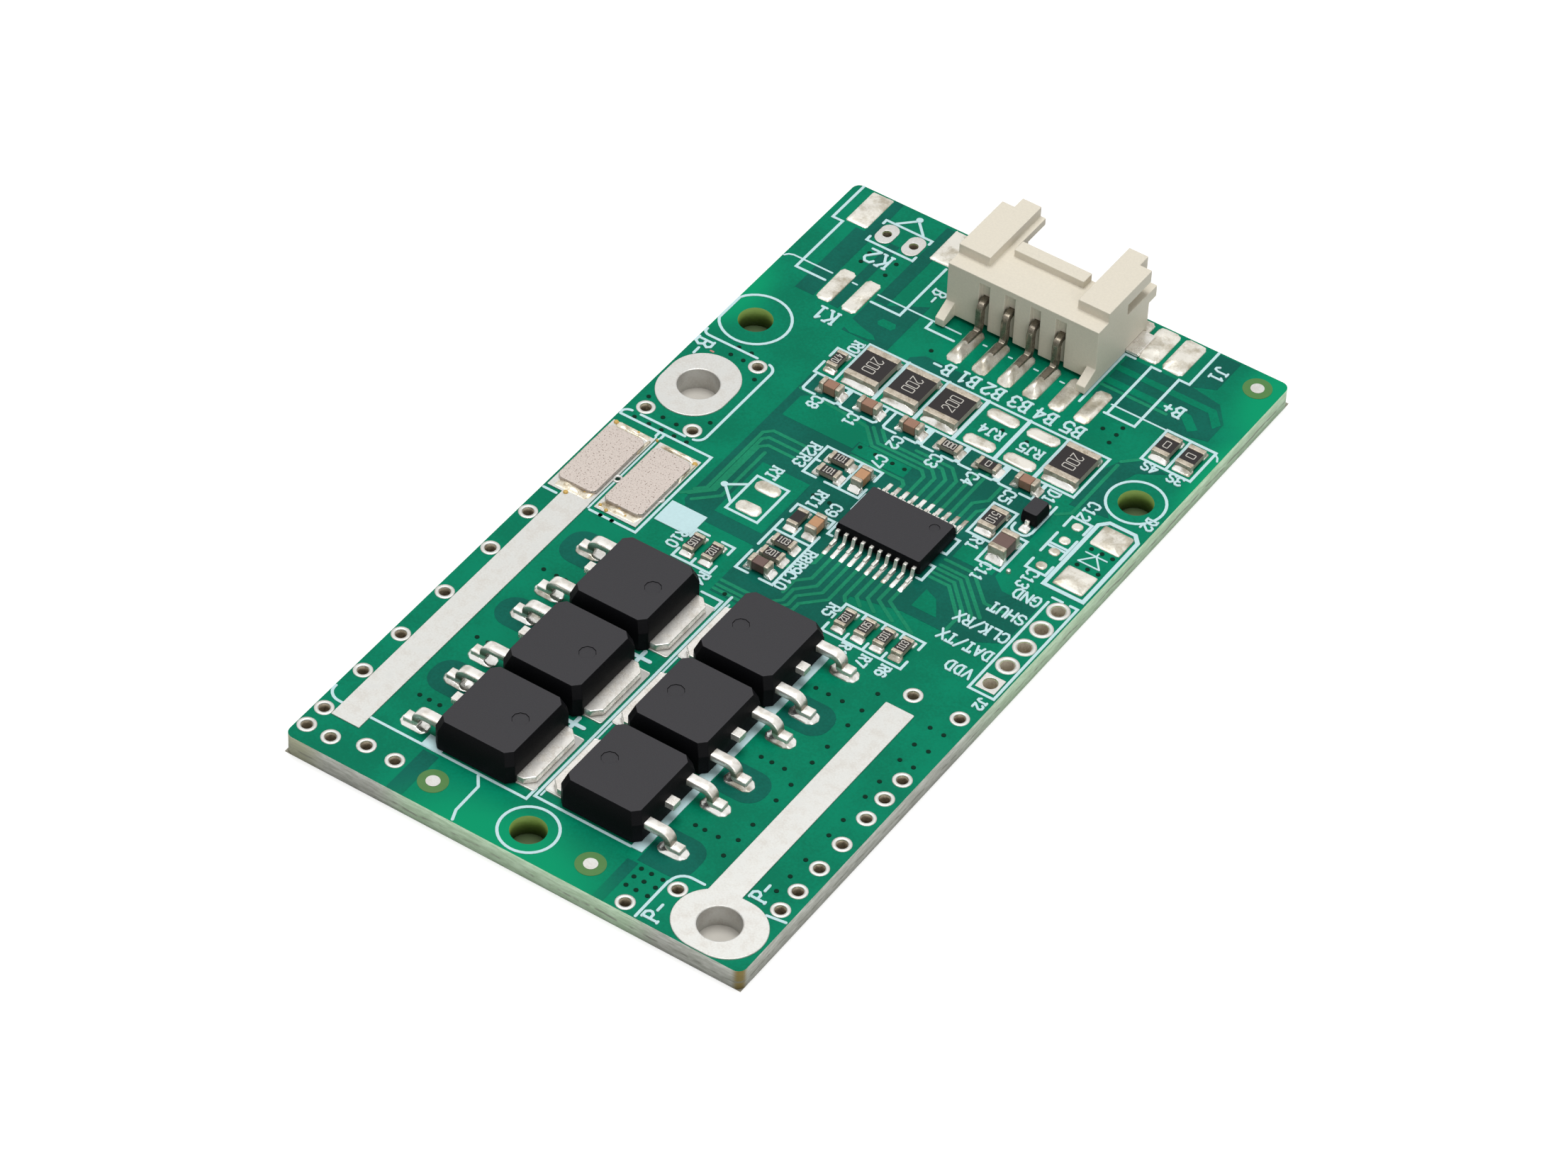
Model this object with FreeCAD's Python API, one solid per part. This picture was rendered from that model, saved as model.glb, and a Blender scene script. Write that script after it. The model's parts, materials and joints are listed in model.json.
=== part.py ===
import FreeCAD, Part
import math
import os

Vector = FreeCAD.Vector

# All sizes are millimetres. The origin is the centre of the board's underside,
# +X runs across the short side, +Y towards the cell connector and +Z up.
# Places along y, unless they are insets or setbacks, count from the line of the balance
# resistors, which lies just in front of the connector's lands: a longer board grows at its front.

# Bare board
board_width = 34.5
board_length = 64.5
board_thickness = 1.6
board_corner_radius = 0.8
land_thickness = 0.1
plating_thickness = 0.05
barrel_sides = 8
terminal_barrel_sides = 16
land_corner = 0.35

# Fixing holes, not plated
fixing_hole_diameter = 2.4
rear_hole_inset_left = 2.2
rear_hole_inset_right = 2.4
rear_hole_setback = 15.55
front_hole_offset = -0.1
front_hole_setback = 2.2

# Screw terminals and the bare bus strips beside them
terminal_hole_diameter = 2.9
terminal_length = 6.3
terminal_width = 5.1
left_terminal_inset = 2.75
left_terminal_y = -7.7
right_terminal_inset = 3.35
right_terminal_setback = 2.6
strip_width = 2.15
strip_ring_gap = 0.03
right_strip_inset = 4.5
left_strip_front_inset = 3.05
right_strip_rear = -24.85

# Small plated holes
small_hole_diameter = 0.8
small_ring_diameter = 1.3
small_hole_sides = 9
left_column_inset = 0.7
right_column_inset = 1.0
left_column_y = [-24.05, -28.2, -33.15, -37.85, -41.85, -45.9, -47.7]
right_column_y = [-23.35, -29.9, -31.9, -33.95, -36.65, -39.15, -41.5, -43.4]
left_column_front_margin = 1.2
right_column_terminal_gap = 3.1
left_corner_holes = [(2.55, 1.45), (4.8, 2.15), (7.0, 2.15)]
right_corner_holes = [(9.05, 0.75)]
terminal_small_holes = [(2.2, 3.75), (-1.55, -3.8), (2.2, -3.85)]
strip_end_hole_gap = 1.5
terminal_ring_gap = 0.03
terminal_ring_angle = 164

# Signal header: five plated holes without a part in them
header_pitch = 2.0
header_count = 5
header_hole_diameter = 1.0
header_ring_diameter = 1.55
header_ring_sides = 12
header_inset = 1.13
header_first_y = -19.63

# Thermistor lead holes with oblong lands
probe_hole_diameter = 0.65
probe_land_width = 1.33
probe_land_length = 2.05
probe_pitch = 2.15
probe_setback = 3.23

# Nickel weld tabs
tab_width = 3.0
tab_length = 6.0
tab_thickness = 0.3
tab_corner = 0.3
tab_pitch = 3.67
left_tab_inset = 1.85
tab_y = -17.5
tab_land_width = 3.3
tab_land_length = 7.5

# Formed leads: how far one runs out for each millimetre it drops
lead_splay = 0.35

# Switching transistors, in two columns as long as the board has room for
transistor_pitch = 7.18
transistor_front_margin = 4.0
left_column_x = -6.1
right_column_x = 3.1
left_column_first_y = -27.05
right_column_first_y = -26.53
package_width = 6.6
package_length = 6.1
package_height = 2.3
package_draft = 0.32
package_corner = 0.45
dimple_radius = 0.55
dimple_depth = 0.06
dimple_offset = 1.4
dimple_sides = 10
drain_width = 5.3
drain_thickness = 0.5
drain_reach = 1.05
drain_corner = 0.6
drain_inside = 5.2
lead_width = 0.76
lead_thickness = 0.5
lead_pitch = 4.57
lead_reach = 2.7
lead_foot = 0.95
lead_level = 0.95
lead_bend_radius = 0.4
stub_reach = 0.65
stub_web = 0.4
drain_land_reach = 0.3
drain_land_margin = 0.1
foot_land_length = 2.2
foot_land_width = 1.25
foot_land_shift = 0.25

# Controller chip, twenty gull-wing leads
controller_x = 3.96
controller_y = -12.08
controller_length = 6.5
controller_width = 4.4
controller_height = 1.0
controller_standoff = 0.1
controller_draft = 0.12
controller_span = 6.4
controller_lead_level = 0.6
controller_lead_pitch = 0.65
controller_lead_width = 0.24
controller_lead_thickness = 0.13
controller_lead_count = 10
controller_foot = 0.6
controller_corner = 0.1
controller_mark_inset = 1.05
controller_mark_radius = 0.35
controller_land_length = 1.5
controller_land_margin = 0.05
controller_land_shift = 0.1

# Diode
diode_x = 10.3
diode_y = -5.3
diode_length = 1.7
diode_width = 1.25
diode_height = 0.95
diode_span = 2.5
diode_lead_width = 0.32
diode_lead_thickness = 0.13
diode_lead_level = 0.3
diode_foot = 0.25
diode_standoff = 0.05
diode_draft = 0.08
diode_land = 0.75

# Cell connector: shrouded side-entry header, four contacts at 2 mm
contact_pitch = 2.0
contact_count = 4
contact_size = 0.5
contact_height = 2.6
contact_bend_radius = 0.45
contact_tip_recess = 1.2
contact_drop = 0.35
contact_foot = 1.75
connector_x = 0.75
shroud_width = 9.9
shroud_depth = 7.6
shroud_wall = 0.7
shroud_standoff = 0.25
floor_thickness = 0.7
rear_wall = 1.5
deck_height = 4.6
deck_thickness = 0.6
rail_height = 5.4
rail_width = 1.5
rail_setback = 1.25
rail_roof = 0.5
horn_width = 0.95
horn_setback = 1.05
horn_slot_depth = 3.9
horn_slot_low = 3.45
horn_slot_high = 4.4
horn_nose_low = 2.5
horn_nose_setback = 0.15
mouth_half_width = 3.05
mouth_depth = 3.45
mouth_corner = 0.45
latch_width = 5.45
latch_depth = 1.05
latch_height = 0.6
groove_width = 0.8
groove_depth = 0.4
groove_top = 4.1
gusset_width = 0.7
gusset_reach = 1.3
gusset_low = 0.7
gusset_high = 1.35
anchor_thickness = 0.25
anchor_length = 2.3
anchor_rise = 2.0
anchor_foot = 0.95
anchor_setback = 1.45
anchor_clearance = 0.03

# Lands of the connector row and of the empty two-pin header beside it
row_land_width = 1.22
row_land_length = 3.6
row_land_count = 6
row_land_gap = 0.15
anchor_land_width = 1.75
anchor_land_length = 3.55
anchor_land_offset = 2.37
edge_land_gap = 0.1
empty_header_inset = 5.65

# Chip parts: length, width, height, end cap length
balance_chip = (3.2, 2.5, 0.6, 0.5)
resistor_0805 = (2.0, 1.25, 0.5, 0.4)
resistor_0603 = (1.6, 0.8, 0.45, 0.3)
capacitor_0805 = (2.0, 1.25, 1.0, 0.45)
capacitor_0603 = (1.6, 0.8, 0.8, 0.35)
cap_wall = 0.05
chip_land_reach = 0.35
chip_land_margin = 0.1

# Balance resistors stand in a row of six cells, two of them empty
balance_row_gap = 2.05
balance_first_x = -5.85
balance_pitch = 3.13
balance_cells_filled = (True, True, True, False, False, True)

# Where the other chips lie: size, x, y, and whether the chip lies across the board
small_resistors = [
    (resistor_0603, -8.25, -0.6, False),
    (resistor_0603, 2.35, -3.2, True),
    (resistor_0603, 5.35, -3.2, True),
    (resistor_0603, -2.7, -8.45, True),
    (resistor_0603, -2.7, -9.85, True),
    (resistor_0603, -1.95, -14.6, False),
    (resistor_0603, -1.4, -17, True),
    (resistor_0603, -1.4, -18.35, True),
    (resistor_0603, -6.05, -20.45, False),
    (resistor_0603, -4.6, -20.45, False),
    (resistor_0603, 5.65, -20.45, False),
    (resistor_0603, 7.15, -20.45, False),
    (resistor_0603, 8.6, -20.45, False),
    (resistor_0603, 10.0, -20.45, False),
    (resistor_0805, 13.87, 5.15, False),
    (resistor_0805, 15.7, 5.15, False),
    (resistor_0805, 8.35, -7.3, False),
]
small_capacitors = [
    (capacitor_0603, -6.95, -3.2, True),
    (capacitor_0603, -3.95, -3.2, True),
    (capacitor_0603, -0.65, -3.2, True),
    (capacitor_0603, 8.35, -3.2, True),
    (capacitor_0603, -0.6, -9.15, False),
    (capacitor_0603, -0.55, -14.6, False),
    (capacitor_0603, -1.4, -19.7, True),
    (capacitor_0805, 10.3, -9.1, False),
]

# Lands left bare: x, y, width, length
bare_lands = [
    (-5.2, -13.23, 1.95, 1.1),
    (-5.2, -15.45, 1.95, 1.1),
    (15.5, -4.2, 2.35, 2.05),
    (15.5, -8.65, 2.35, 2.05),
    (13.0, -4.4, 0.8, 0.75),
    (13.0, -5.95, 0.8, 0.75),
    (13.0, -7.2, 0.8, 0.75),
    (13.0, -8.75, 0.8, 0.75),
]
balance_land_length = 1.05
balance_land_gap = 1.85

# Places worked out from the sizes above
top = board_thickness
seat = top + land_thickness
left_edge = -board_width / 2
right_edge = board_width / 2
front_edge = -board_length / 2
back_edge = board_length / 2
connector_rear = back_edge - shroud_depth
connector_lands_front = connector_rear - row_land_gap - row_land_length
balance_line = connector_lands_front - balance_row_gap - balance_chip[0] / 2 - chip_land_reach
left_terminal_x = left_edge + left_terminal_inset
right_terminal_x = right_edge - right_terminal_inset
right_terminal_y = front_edge + right_terminal_setback
left_strip_x = left_edge + left_column_inset + small_ring_diameter / 2 + strip_ring_gap + strip_width / 2
right_strip_x = right_edge - right_strip_inset
header_x = right_edge - header_inset
empty_header_x = left_edge + empty_header_inset
tab_x = [left_edge + left_tab_inset + i * tab_pitch for i in range(2)]
contact_x = [connector_x + (i - (contact_count - 1) / 2) * contact_pitch for i in range(contact_count)]


def box(x0, x1, y0, y1, z0, z1):
    """A block between two planes on each axis; its two x may come in either order."""
    x0, x1 = sorted((x0, x1))
    return Part.makeBox(x1 - x0, y1 - y0, z1 - z0, Vector(x0, y0, z0))


def centred_box(x, y, width, length, z0, height):
    return box(x - width / 2, x + width / 2, y - length / 2, y + length / 2, z0, z0 + height)


def cylinder(x, y, z0, radius, height):
    return Part.makeCylinder(radius, height, Vector(x, y, z0))


def plate(points, thickness, direction):
    face = Part.Face(Part.makePolygon([*points, points[0]]))
    return face.extrude(direction * thickness)


def rounded_plate(x, y, width, length, radius, z0, thickness):
    """A flat plate whose four corners are arcs; a radius of half its width makes a stadium."""
    half_x = width / 2 - radius
    half_y = length / 2 - radius
    edges = []
    last = None
    first = None
    for quarter, (sx, sy) in enumerate([(1, 1), (-1, 1), (-1, -1), (1, -1)]):
        centre = Vector(x + sx * half_x, y + sy * half_y, z0)
        start, middle, end = [
            centre + Vector(math.cos(angle), math.sin(angle), 0) * radius
            for angle in [math.radians(90 * quarter + step) for step in (0, 45, 90)]
        ]
        if last is not None and start.distanceToPoint(last) > 1e-6:
            edges.append(Part.makeLine(last, start))
        edges.append(Part.Arc(start, middle, end).toShape())
        first = first or start
        last = end
    if last.distanceToPoint(first) > 1e-6:
        edges.append(Part.makeLine(last, first))
    return Part.Face(Part.Wire(edges)).extrude(Vector(0, 0, thickness))


def prism(x, y, z0, radius, height, sides):
    """An upright prism with as large a mean radius as the cylinder it stands for."""
    corner = radius * 2 / (1 + math.cos(math.pi / sides))
    points = []
    for i in range(sides):
        angle = 2 * math.pi * (i + 0.5) / sides
        points.append(Vector(x + corner * math.cos(angle), y + corner * math.sin(angle), z0))
    return plate(points, height, Vector(0, 0, 1))


def eased_corners(x, y, width, length, corner, z):
    """The eight corners of a rectangle whose own four corners are cut off."""
    points = []
    for sx, sy in [(1, 1), (-1, 1), (-1, -1), (1, -1)]:
        along = Vector(x + sx * (width / 2 - corner), y + sy * length / 2, z)
        across = Vector(x + sx * width / 2, y + sy * (length / 2 - corner), z)
        points += [across, along] if sx == sy else [along, across]
    return points


def eased_plate(x, y, width, length, corner, z0, thickness):
    return plate(eased_corners(x, y, width, length, corner, z0), thickness, Vector(0, 0, 1))


def bend(points, radius, facets):
    """The points (x, z) of a path, with each corner rounded into a few facets."""
    path = [Vector(x, 0, z) for x, z in points]
    bent = [path[0]]
    for before, corner, after in zip(path, path[1:], path[2:]):
        into = (corner - before).normalize()
        out = (after - corner).normalize()
        turn = math.acos(max(-1, min(1, into.dot(out))))
        reach = radius * math.tan(turn / 2)
        start = corner - into * reach
        end = corner + out * reach
        centre = corner + (out - into).normalize() * (radius / math.cos(turn / 2))
        for i in range(facets + 1):
            share = i / facets
            spoke = (start - centre) * math.sin((1 - share) * turn) + (end - centre) * math.sin(share * turn)
            bent.append(centre + spoke * (1 / math.sin(turn)))
    return [*bent, path[-1]]


def strip(path, thickness, width):
    """A strip of metal of even thickness along a path in the XZ plane, with its width along y."""
    runs = [(b - a).normalize() for a, b in zip(path, path[1:])]
    normals = [Vector(-run.z, 0, run.x) for run in runs]
    outward = []
    for i in range(len(path)):
        first = normals[max(i - 1, 0)]
        second = normals[min(i, len(normals) - 1)]
        outward.append((first + second) * (thickness / 2 / (1 + first.dot(second))))
    outline = [point + step for point, step in zip(path, outward)]
    outline += [point - step for point, step in reversed(list(zip(path, outward)))]
    return plate(outline, width, Vector(0, 1, 0)).translated(Vector(0, -width / 2, 0))


def placed(shape, x, y, z, turn=0):
    moved = shape.copy()
    moved.rotate(Vector(0, 0, 0), Vector(0, 0, 1), turn)
    moved.translate(Vector(x, y, z))
    return moved


def frustum(x, y, width, length, corner, inset, z0, height):
    """An eight-sided block that narrows upwards by inset on every side."""
    wires = []
    for shrink, z in ((0, z0), (2 * inset, z0 + height)):
        points = eased_corners(x, y, width - shrink, length - shrink, corner, z)
        wires.append(Part.makePolygon([*points, points[0]]))
    return Part.makeLoft(wires, True, True)


def moulded_body(x, y, width, length, corner, draft, z0, parting, z1):
    """A moulded package: upright up to its parting line, drafted above it."""
    lower = frustum(x, y, width, length, corner, 0, z0, parting - z0)
    upper = frustum(x, y, width, length, corner, draft, parting, z1 - parting)
    return lower.fuse(upper)


def small_ring(x, y):
    """The tinned ring round a small plated hole."""
    ring = prism(x, y, top, small_ring_diameter / 2, land_thickness, small_hole_sides)
    return ring.cut(prism(x, y, top, small_hole_diameter / 2, land_thickness, small_hole_sides))


def plated_hole(x, y, hole, land, barrel_sides):
    """The tin-plated barrel through the board, joined to its land on the top face."""
    barrel = prism(x, y, 0, hole / 2 + plating_thickness, seat, barrel_sides)
    return land.fuse(barrel).cut(cylinder(x, y, 0, hole / 2, seat)).removeSplitter()


def small_hole_places():
    """Two columns along the edges, as far as the board has room, and the holes near the terminals."""
    left_end = front_edge + left_column_front_margin
    right_end = right_terminal_y + right_column_terminal_gap
    left_ys = [y + balance_line for y in left_column_y]
    right_ys = [y + balance_line for y in right_column_y]
    places = [(left_edge + left_column_inset, y) for y in left_ys if y > left_end]
    places += [(right_edge - right_column_inset, y) for y in right_ys if y > right_end]
    places += [(left_edge + dx, front_edge + dy) for dx, dy in left_corner_holes]
    places += [(right_edge - dx, front_edge + dy) for dx, dy in right_corner_holes]
    left_x, left_y = terminal_places()[0]
    places += [(left_x + dx, left_y + dy) for dx, dy in terminal_small_holes]
    places.append((right_strip_x, right_strip_rear + balance_line + strip_end_hole_gap))
    angle = math.radians(terminal_ring_angle)
    reach = (terminal_width + small_ring_diameter) / 2 + terminal_ring_gap
    arc_x = right_terminal_x - (terminal_length - terminal_width) / 2
    places.append((arc_x + reach * math.cos(angle), right_terminal_y + reach * math.sin(angle)))
    return places


def header_places():
    return [(header_x, balance_line + header_first_y + i * header_pitch) for i in range(header_count)]


def probe_places():
    return [(empty_header_x + side * probe_pitch / 2, back_edge - probe_setback) for side in (-1, 1)]


def fixing_hole_places():
    rear_y = back_edge - rear_hole_setback
    return [
        (left_edge + rear_hole_inset_left, rear_y),
        (right_edge - rear_hole_inset_right, rear_y),
        (front_hole_offset, front_edge + front_hole_setback),
    ]


def terminal_places():
    return [(left_terminal_x, balance_line + left_terminal_y), (right_terminal_x, right_terminal_y)]


def bare_board():
    board = rounded_plate(0, 0, board_width, board_length, board_corner_radius, 0, board_thickness)
    drills = [cylinder(x, y, 0, fixing_hole_diameter / 2, board_thickness) for x, y in fixing_hole_places()]
    for places, radius, sides in (
        (terminal_places(), terminal_hole_diameter / 2 + plating_thickness, terminal_barrel_sides),
        (header_places(), header_hole_diameter / 2 + plating_thickness, barrel_sides),
        (probe_places(), probe_hole_diameter / 2 + plating_thickness, barrel_sides),
        (small_hole_places(), small_hole_diameter / 2, small_hole_sides),
    ):
        drills += [prism(x, y, 0, radius, board_thickness, sides) for x, y in places]
    return board.cut(drills)


def terminal(x, y, width, length, strips):
    """A plated screw hole with its land; strips are the bus strips that run into the land."""
    land = rounded_plate(x, y, width, length, min(width, length) / 2, top, land_thickness)
    if strips:
        land = land.fuse(strips)
    return plated_hole(x, y, terminal_hole_diameter, land, terminal_barrel_sides)


def header_hole(x, y):
    land = prism(x, y, top, header_ring_diameter / 2, land_thickness, header_ring_sides)
    return plated_hole(x, y, header_hole_diameter, land, barrel_sides)


def probe_hole(x, y):
    land = eased_plate(x, y, probe_land_width, probe_land_length, land_corner, top, land_thickness)
    return plated_hole(x, y, probe_hole_diameter, land, barrel_sides)


def bus_strip(x, y0, y1):
    return box(x - strip_width / 2, x + strip_width / 2, y0, y1, top, seat)


def weld_land(x):
    return centred_box(x, balance_line + tab_y, tab_land_width, tab_land_length, top, land_thickness)


def weld_tab(x):
    return eased_plate(x, balance_line + tab_y, tab_width, tab_length, tab_corner, seat, tab_thickness)


def gull_lead(outer, inner, level, thickness, width, foot, radius):
    """A formed lead from its foot at -outer up to -inner, where its underside is at level."""
    slope = (level - thickness) * lead_splay
    points = [
        (-outer, thickness / 2),
        (-outer + foot, thickness / 2),
        (-outer + foot + slope, level + thickness / 2),
        (-inner, level + thickness / 2),
    ]
    path = bend(points, radius, 1) if radius else [Vector(x, 0, z) for x, z in points]
    return strip(path, thickness, width)


def drain_frame():
    """The tab under the body, and the web that rises inside the body to the cut-off middle lead."""
    half = package_length / 2
    reach = half + drain_reach
    side = drain_width / 2
    tab = plate(
        [
            Vector(half - drain_inside, -side, 0),
            Vector(reach - drain_corner, -side, 0),
            Vector(reach, -side + drain_corner, 0),
            Vector(reach, side - drain_corner, 0),
            Vector(reach - drain_corner, side, 0),
            Vector(half - drain_inside, side, 0),
        ],
        drain_thickness,
        Vector(0, 0, 1),
    )
    web_x = half - drain_inside
    lead_top = lead_level + lead_thickness
    web = box(web_x, web_x + stub_web, -lead_width / 2, lead_width / 2, 0, lead_top)
    stub = box(-half - stub_reach, web_x + stub_web, -lead_width / 2, lead_width / 2, lead_level, lead_top)
    return tab.fuse([web, stub]).removeSplitter()


def transistor():
    """Body, drain tab, gate lead and source lead, leads towards -x, on z = 0."""
    half = package_length / 2
    drain = drain_frame()
    body = moulded_body(0, 0, package_length, package_width, package_corner, package_draft,
                        0, lead_level + lead_thickness, package_height)
    dimple = prism(dimple_offset, 0, package_height - dimple_depth, dimple_radius, dimple_depth, dimple_sides)
    lead = gull_lead(half + lead_reach, half, lead_level, lead_thickness, lead_width, lead_foot,
                     lead_bend_radius)
    return {
        "bodies": body.cut([drain, dimple]),
        "drain_tabs": drain,
        "gate_leads": placed(lead, 0, lead_pitch / 2, 0),
        "source_leads": placed(lead, 0, -lead_pitch / 2, 0),
    }


def transistor_places():
    """Centre and turn of each transistor; the drain tabs of the two columns face each other."""
    room = balance_line + left_column_first_y - package_width / 2 - front_edge - transistor_front_margin
    rows = 1 + int(room // transistor_pitch)
    places = []
    for x, first_y, turn in (
        (left_column_x, left_column_first_y, 0),
        (right_column_x, right_column_first_y, 180),
    ):
        places += [(x, balance_line + first_y - i * transistor_pitch, turn) for i in range(rows)]
    return places


def transistor_lands():
    """For each transistor one wide land under the drain and one under each lead foot."""
    half = package_length / 2
    drain_side = drain_width / 2 + drain_land_margin
    drain = box(half - drain_inside, half + drain_reach + drain_land_reach, -drain_side, drain_side,
                0, land_thickness)
    foot_x = -half - lead_reach + lead_foot / 2 + foot_land_shift
    feet = [
        eased_plate(foot_x, side * lead_pitch / 2, foot_land_length, foot_land_width, land_corner, 0,
                    land_thickness)
        for side in (-1, 1)
    ]
    return [placed(land, x, y, top, turn) for x, y, turn in transistor_places() for land in [drain, *feet]]


def controller():
    """The controller's body and its two rows of leads."""
    z0 = seat + controller_standoff
    z1 = z0 + controller_height
    parting = seat + controller_lead_level + controller_lead_thickness
    y = balance_line + controller_y
    body = moulded_body(controller_x, y, controller_length, controller_width, controller_corner,
                        controller_draft, z0, parting, z1)
    mark = prism(controller_x + controller_length / 2 - controller_mark_inset,
                 y + controller_width / 2 - controller_mark_inset,
                 z1 - dimple_depth, controller_mark_radius, dimple_depth, dimple_sides)
    lead = gull_lead(controller_span / 2, controller_width / 2, controller_lead_level,
                     controller_lead_thickness, controller_lead_width, controller_foot, 0)
    leads = [placed(lead, x, y, seat, turn) for x in controller_lead_x() for turn in (90, -90)]
    return body.cut(mark), leads


def controller_lead_x():
    middle = (controller_lead_count - 1) / 2
    return [controller_x + (i - middle) * controller_lead_pitch for i in range(controller_lead_count)]


def controller_lands():
    lands = []
    width = controller_lead_width + 2 * controller_land_margin
    for x in controller_lead_x():
        for side in (-1, 1):
            y = balance_line + controller_y + side * (controller_span / 2 + controller_land_shift)
            lands.append(centred_box(x, y, width, controller_land_length, top, land_thickness))
    return lands


def diode():
    """The diode's body and its two leads, which lie along the board."""
    z0 = seat + diode_standoff
    parting = seat + diode_lead_level + diode_lead_thickness
    y = balance_line + diode_y
    body = moulded_body(diode_x, y, diode_width, diode_length, diode_draft, diode_draft,
                        z0, parting, z0 + diode_height)
    lead = gull_lead(diode_span / 2, diode_length / 2, diode_lead_level, diode_lead_thickness,
                     diode_lead_width, diode_foot, 0)
    return body, [placed(lead, diode_x, y, seat, turn) for turn in (90, -90)]


def diode_lands():
    lands = []
    for side in (-1, 1):
        y = balance_line + diode_y + side * diode_span / 2
        lands.append(centred_box(diode_x, y, diode_land, diode_land, top, land_thickness))
    return lands


def chip(size, x, y, across, wrapped):
    """A ceramic chip and its two metal ends; wrapped ends also reach over and under the chip."""
    length, width, height, end = size
    inner = cap_wall if wrapped else end
    core = box(-length / 2 + inner, length / 2 - inner, -width / 2, width / 2, cap_wall, height - cap_wall)
    ends = []
    for side in (-1, 1):
        middle = side * (length - end) / 2
        ends.append(centred_box(middle, 0, end, width, 0, height).cut(core))
    turn = 0 if across else 90
    return placed(core, x, y, seat, turn), [placed(cap, x, y, seat, turn) for cap in ends]


def chip_lands(size, x, y, across):
    length, width, height, end = size
    land_length = end + chip_land_reach
    offset = length / 2 + chip_land_reach - land_length / 2
    turn = 0 if across else 90
    lands = []
    for side in (-1, 1):
        land = centred_box(side * offset, 0, land_length, width + 2 * chip_land_margin, top, land_thickness)
        lands.append(placed(land, x, y, 0, turn))
    return lands


def balance_places(filled):
    """The x of each cell of the balance row that is filled, or of each that is not."""
    places = [(i, is_filled) for i, is_filled in enumerate(balance_cells_filled)]
    return [balance_first_x + i * balance_pitch for i, is_filled in places if is_filled is filled]


def empty_balance_lands():
    lands = []
    for x in balance_places(False):
        for side in (-1, 1):
            y = balance_line + side * (balance_land_gap + balance_land_length) / 2
            lands.append(centred_box(x, y, balance_chip[1], balance_land_length, top, land_thickness))
    return lands


def connector_housing():
    """The moulded shroud: open mouth at the board's edge, keyed rails on top, horns at the sides."""
    x = connector_x
    half = shroud_width / 2
    outer = half + horn_width
    inside = half - shroud_wall
    front = back_edge
    base = top + shroud_standoff
    deck = top + deck_height
    rail = top + rail_height
    rail_rear = connector_rear + rail_setback

    shell = box(x - outer, x + outer, connector_rear, front, base, deck)
    added = [box(x - latch_width / 2, x + latch_width / 2, front - mouth_depth - latch_depth,
                 front - mouth_depth, deck, deck + latch_height)]
    removed = [box(x - inside, x + inside, connector_rear + rear_wall, front,
                   base + floor_thickness, deck - deck_thickness)]
    for side in (-1, 1):
        inner_face = x + side * (half - rail_width)
        outer_face = x + side * outer
        added.append(box(inner_face, outer_face, rail_rear, front, deck, rail))
        foot_face = x + side * (outer - gusset_width)
        added.append(box(outer_face, foot_face, connector_rear, front - horn_setback, seat, base))
        added.append(gusset(min(outer_face, foot_face)))
        roof_edge = x + side * (half - rail_width + rail_roof)
        removed.append(box(roof_edge, x + side * inside, connector_rear + rear_wall, front,
                           deck - deck_thickness, rail - rail_roof))
        removed += horn_cuts(side)
    removed.append(box(x - mouth_half_width, x + mouth_half_width, front - mouth_depth, front,
                       deck - deck_thickness, deck + latch_height))
    for pin_x in contact_x:
        removed.append(box(pin_x - groove_width / 2, pin_x + groove_width / 2, connector_rear,
                           connector_rear + groove_depth, base, top + groove_top))
    return shell.fuse(added).cut(removed).removeSplitter()


def gusset(x):
    """A sloped foot behind the rear wall that keeps the housing from tipping."""
    low = top + gusset_low
    high = top + gusset_high
    rear = connector_rear - gusset_reach
    return plate(
        [
            Vector(x, connector_rear, seat),
            Vector(x, rear, seat),
            Vector(x, rear, low),
            Vector(x, connector_rear, high),
        ],
        gusset_width,
        Vector(1, 0, 0),
    )


def horn_cuts(side):
    """What is missing from the horn: its front above and below the nose, and the slot above it."""
    half = shroud_width / 2
    x0 = connector_x + side * half
    x1 = connector_x + side * (half + horn_width)
    front = back_edge
    return [
        box(x0, x1, front - horn_setback, front, top, top + horn_nose_low),
        box(x0, x1, front - horn_nose_setback, front, top + horn_nose_low, top + horn_slot_low),
        box(x0, x1, front - horn_slot_depth, front, top + horn_slot_low, top + horn_slot_high),
        box(x0, x1, front - horn_setback, front, top + horn_slot_high, top + rail_height),
    ]


def contact(x):
    """A square pin: straight in the shroud, bent down behind it, with a foot on its land."""
    tip = back_edge - contact_tip_recess
    drop = connector_rear - contact_drop
    level = top + contact_height
    foot = seat + contact_size / 2
    path = bend([(-tip, level), (-drop, level), (-drop, foot), (-drop + contact_foot, foot)],
                contact_bend_radius, 2)
    return placed(strip(path, contact_size, contact_size), x, 0, 0, -90)


def anchor(side, clearance):
    """A formed metal foot beside the housing: its upright stands in the horn."""
    half = shroud_width / 2
    upright = half + horn_width / 2
    y1 = back_edge - anchor_setback + clearance
    y0 = back_edge - anchor_setback - anchor_length - clearance
    inner = upright - anchor_thickness / 2 - clearance
    outer = upright + anchor_thickness / 2 + clearance
    reach = half + horn_width + anchor_foot
    rise = seat + anchor_rise + clearance
    foot_top = seat + anchor_thickness + clearance
    standing = box(inner, outer, y0, y1, seat, rise)
    lying = box(inner, reach, y0, y1, seat, foot_top)
    part = standing.fuse(lying).removeSplitter()
    if side < 0:
        part = part.mirror(Vector(), Vector(1, 0, 0))
    return placed(part, connector_x, 0, 0)


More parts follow.
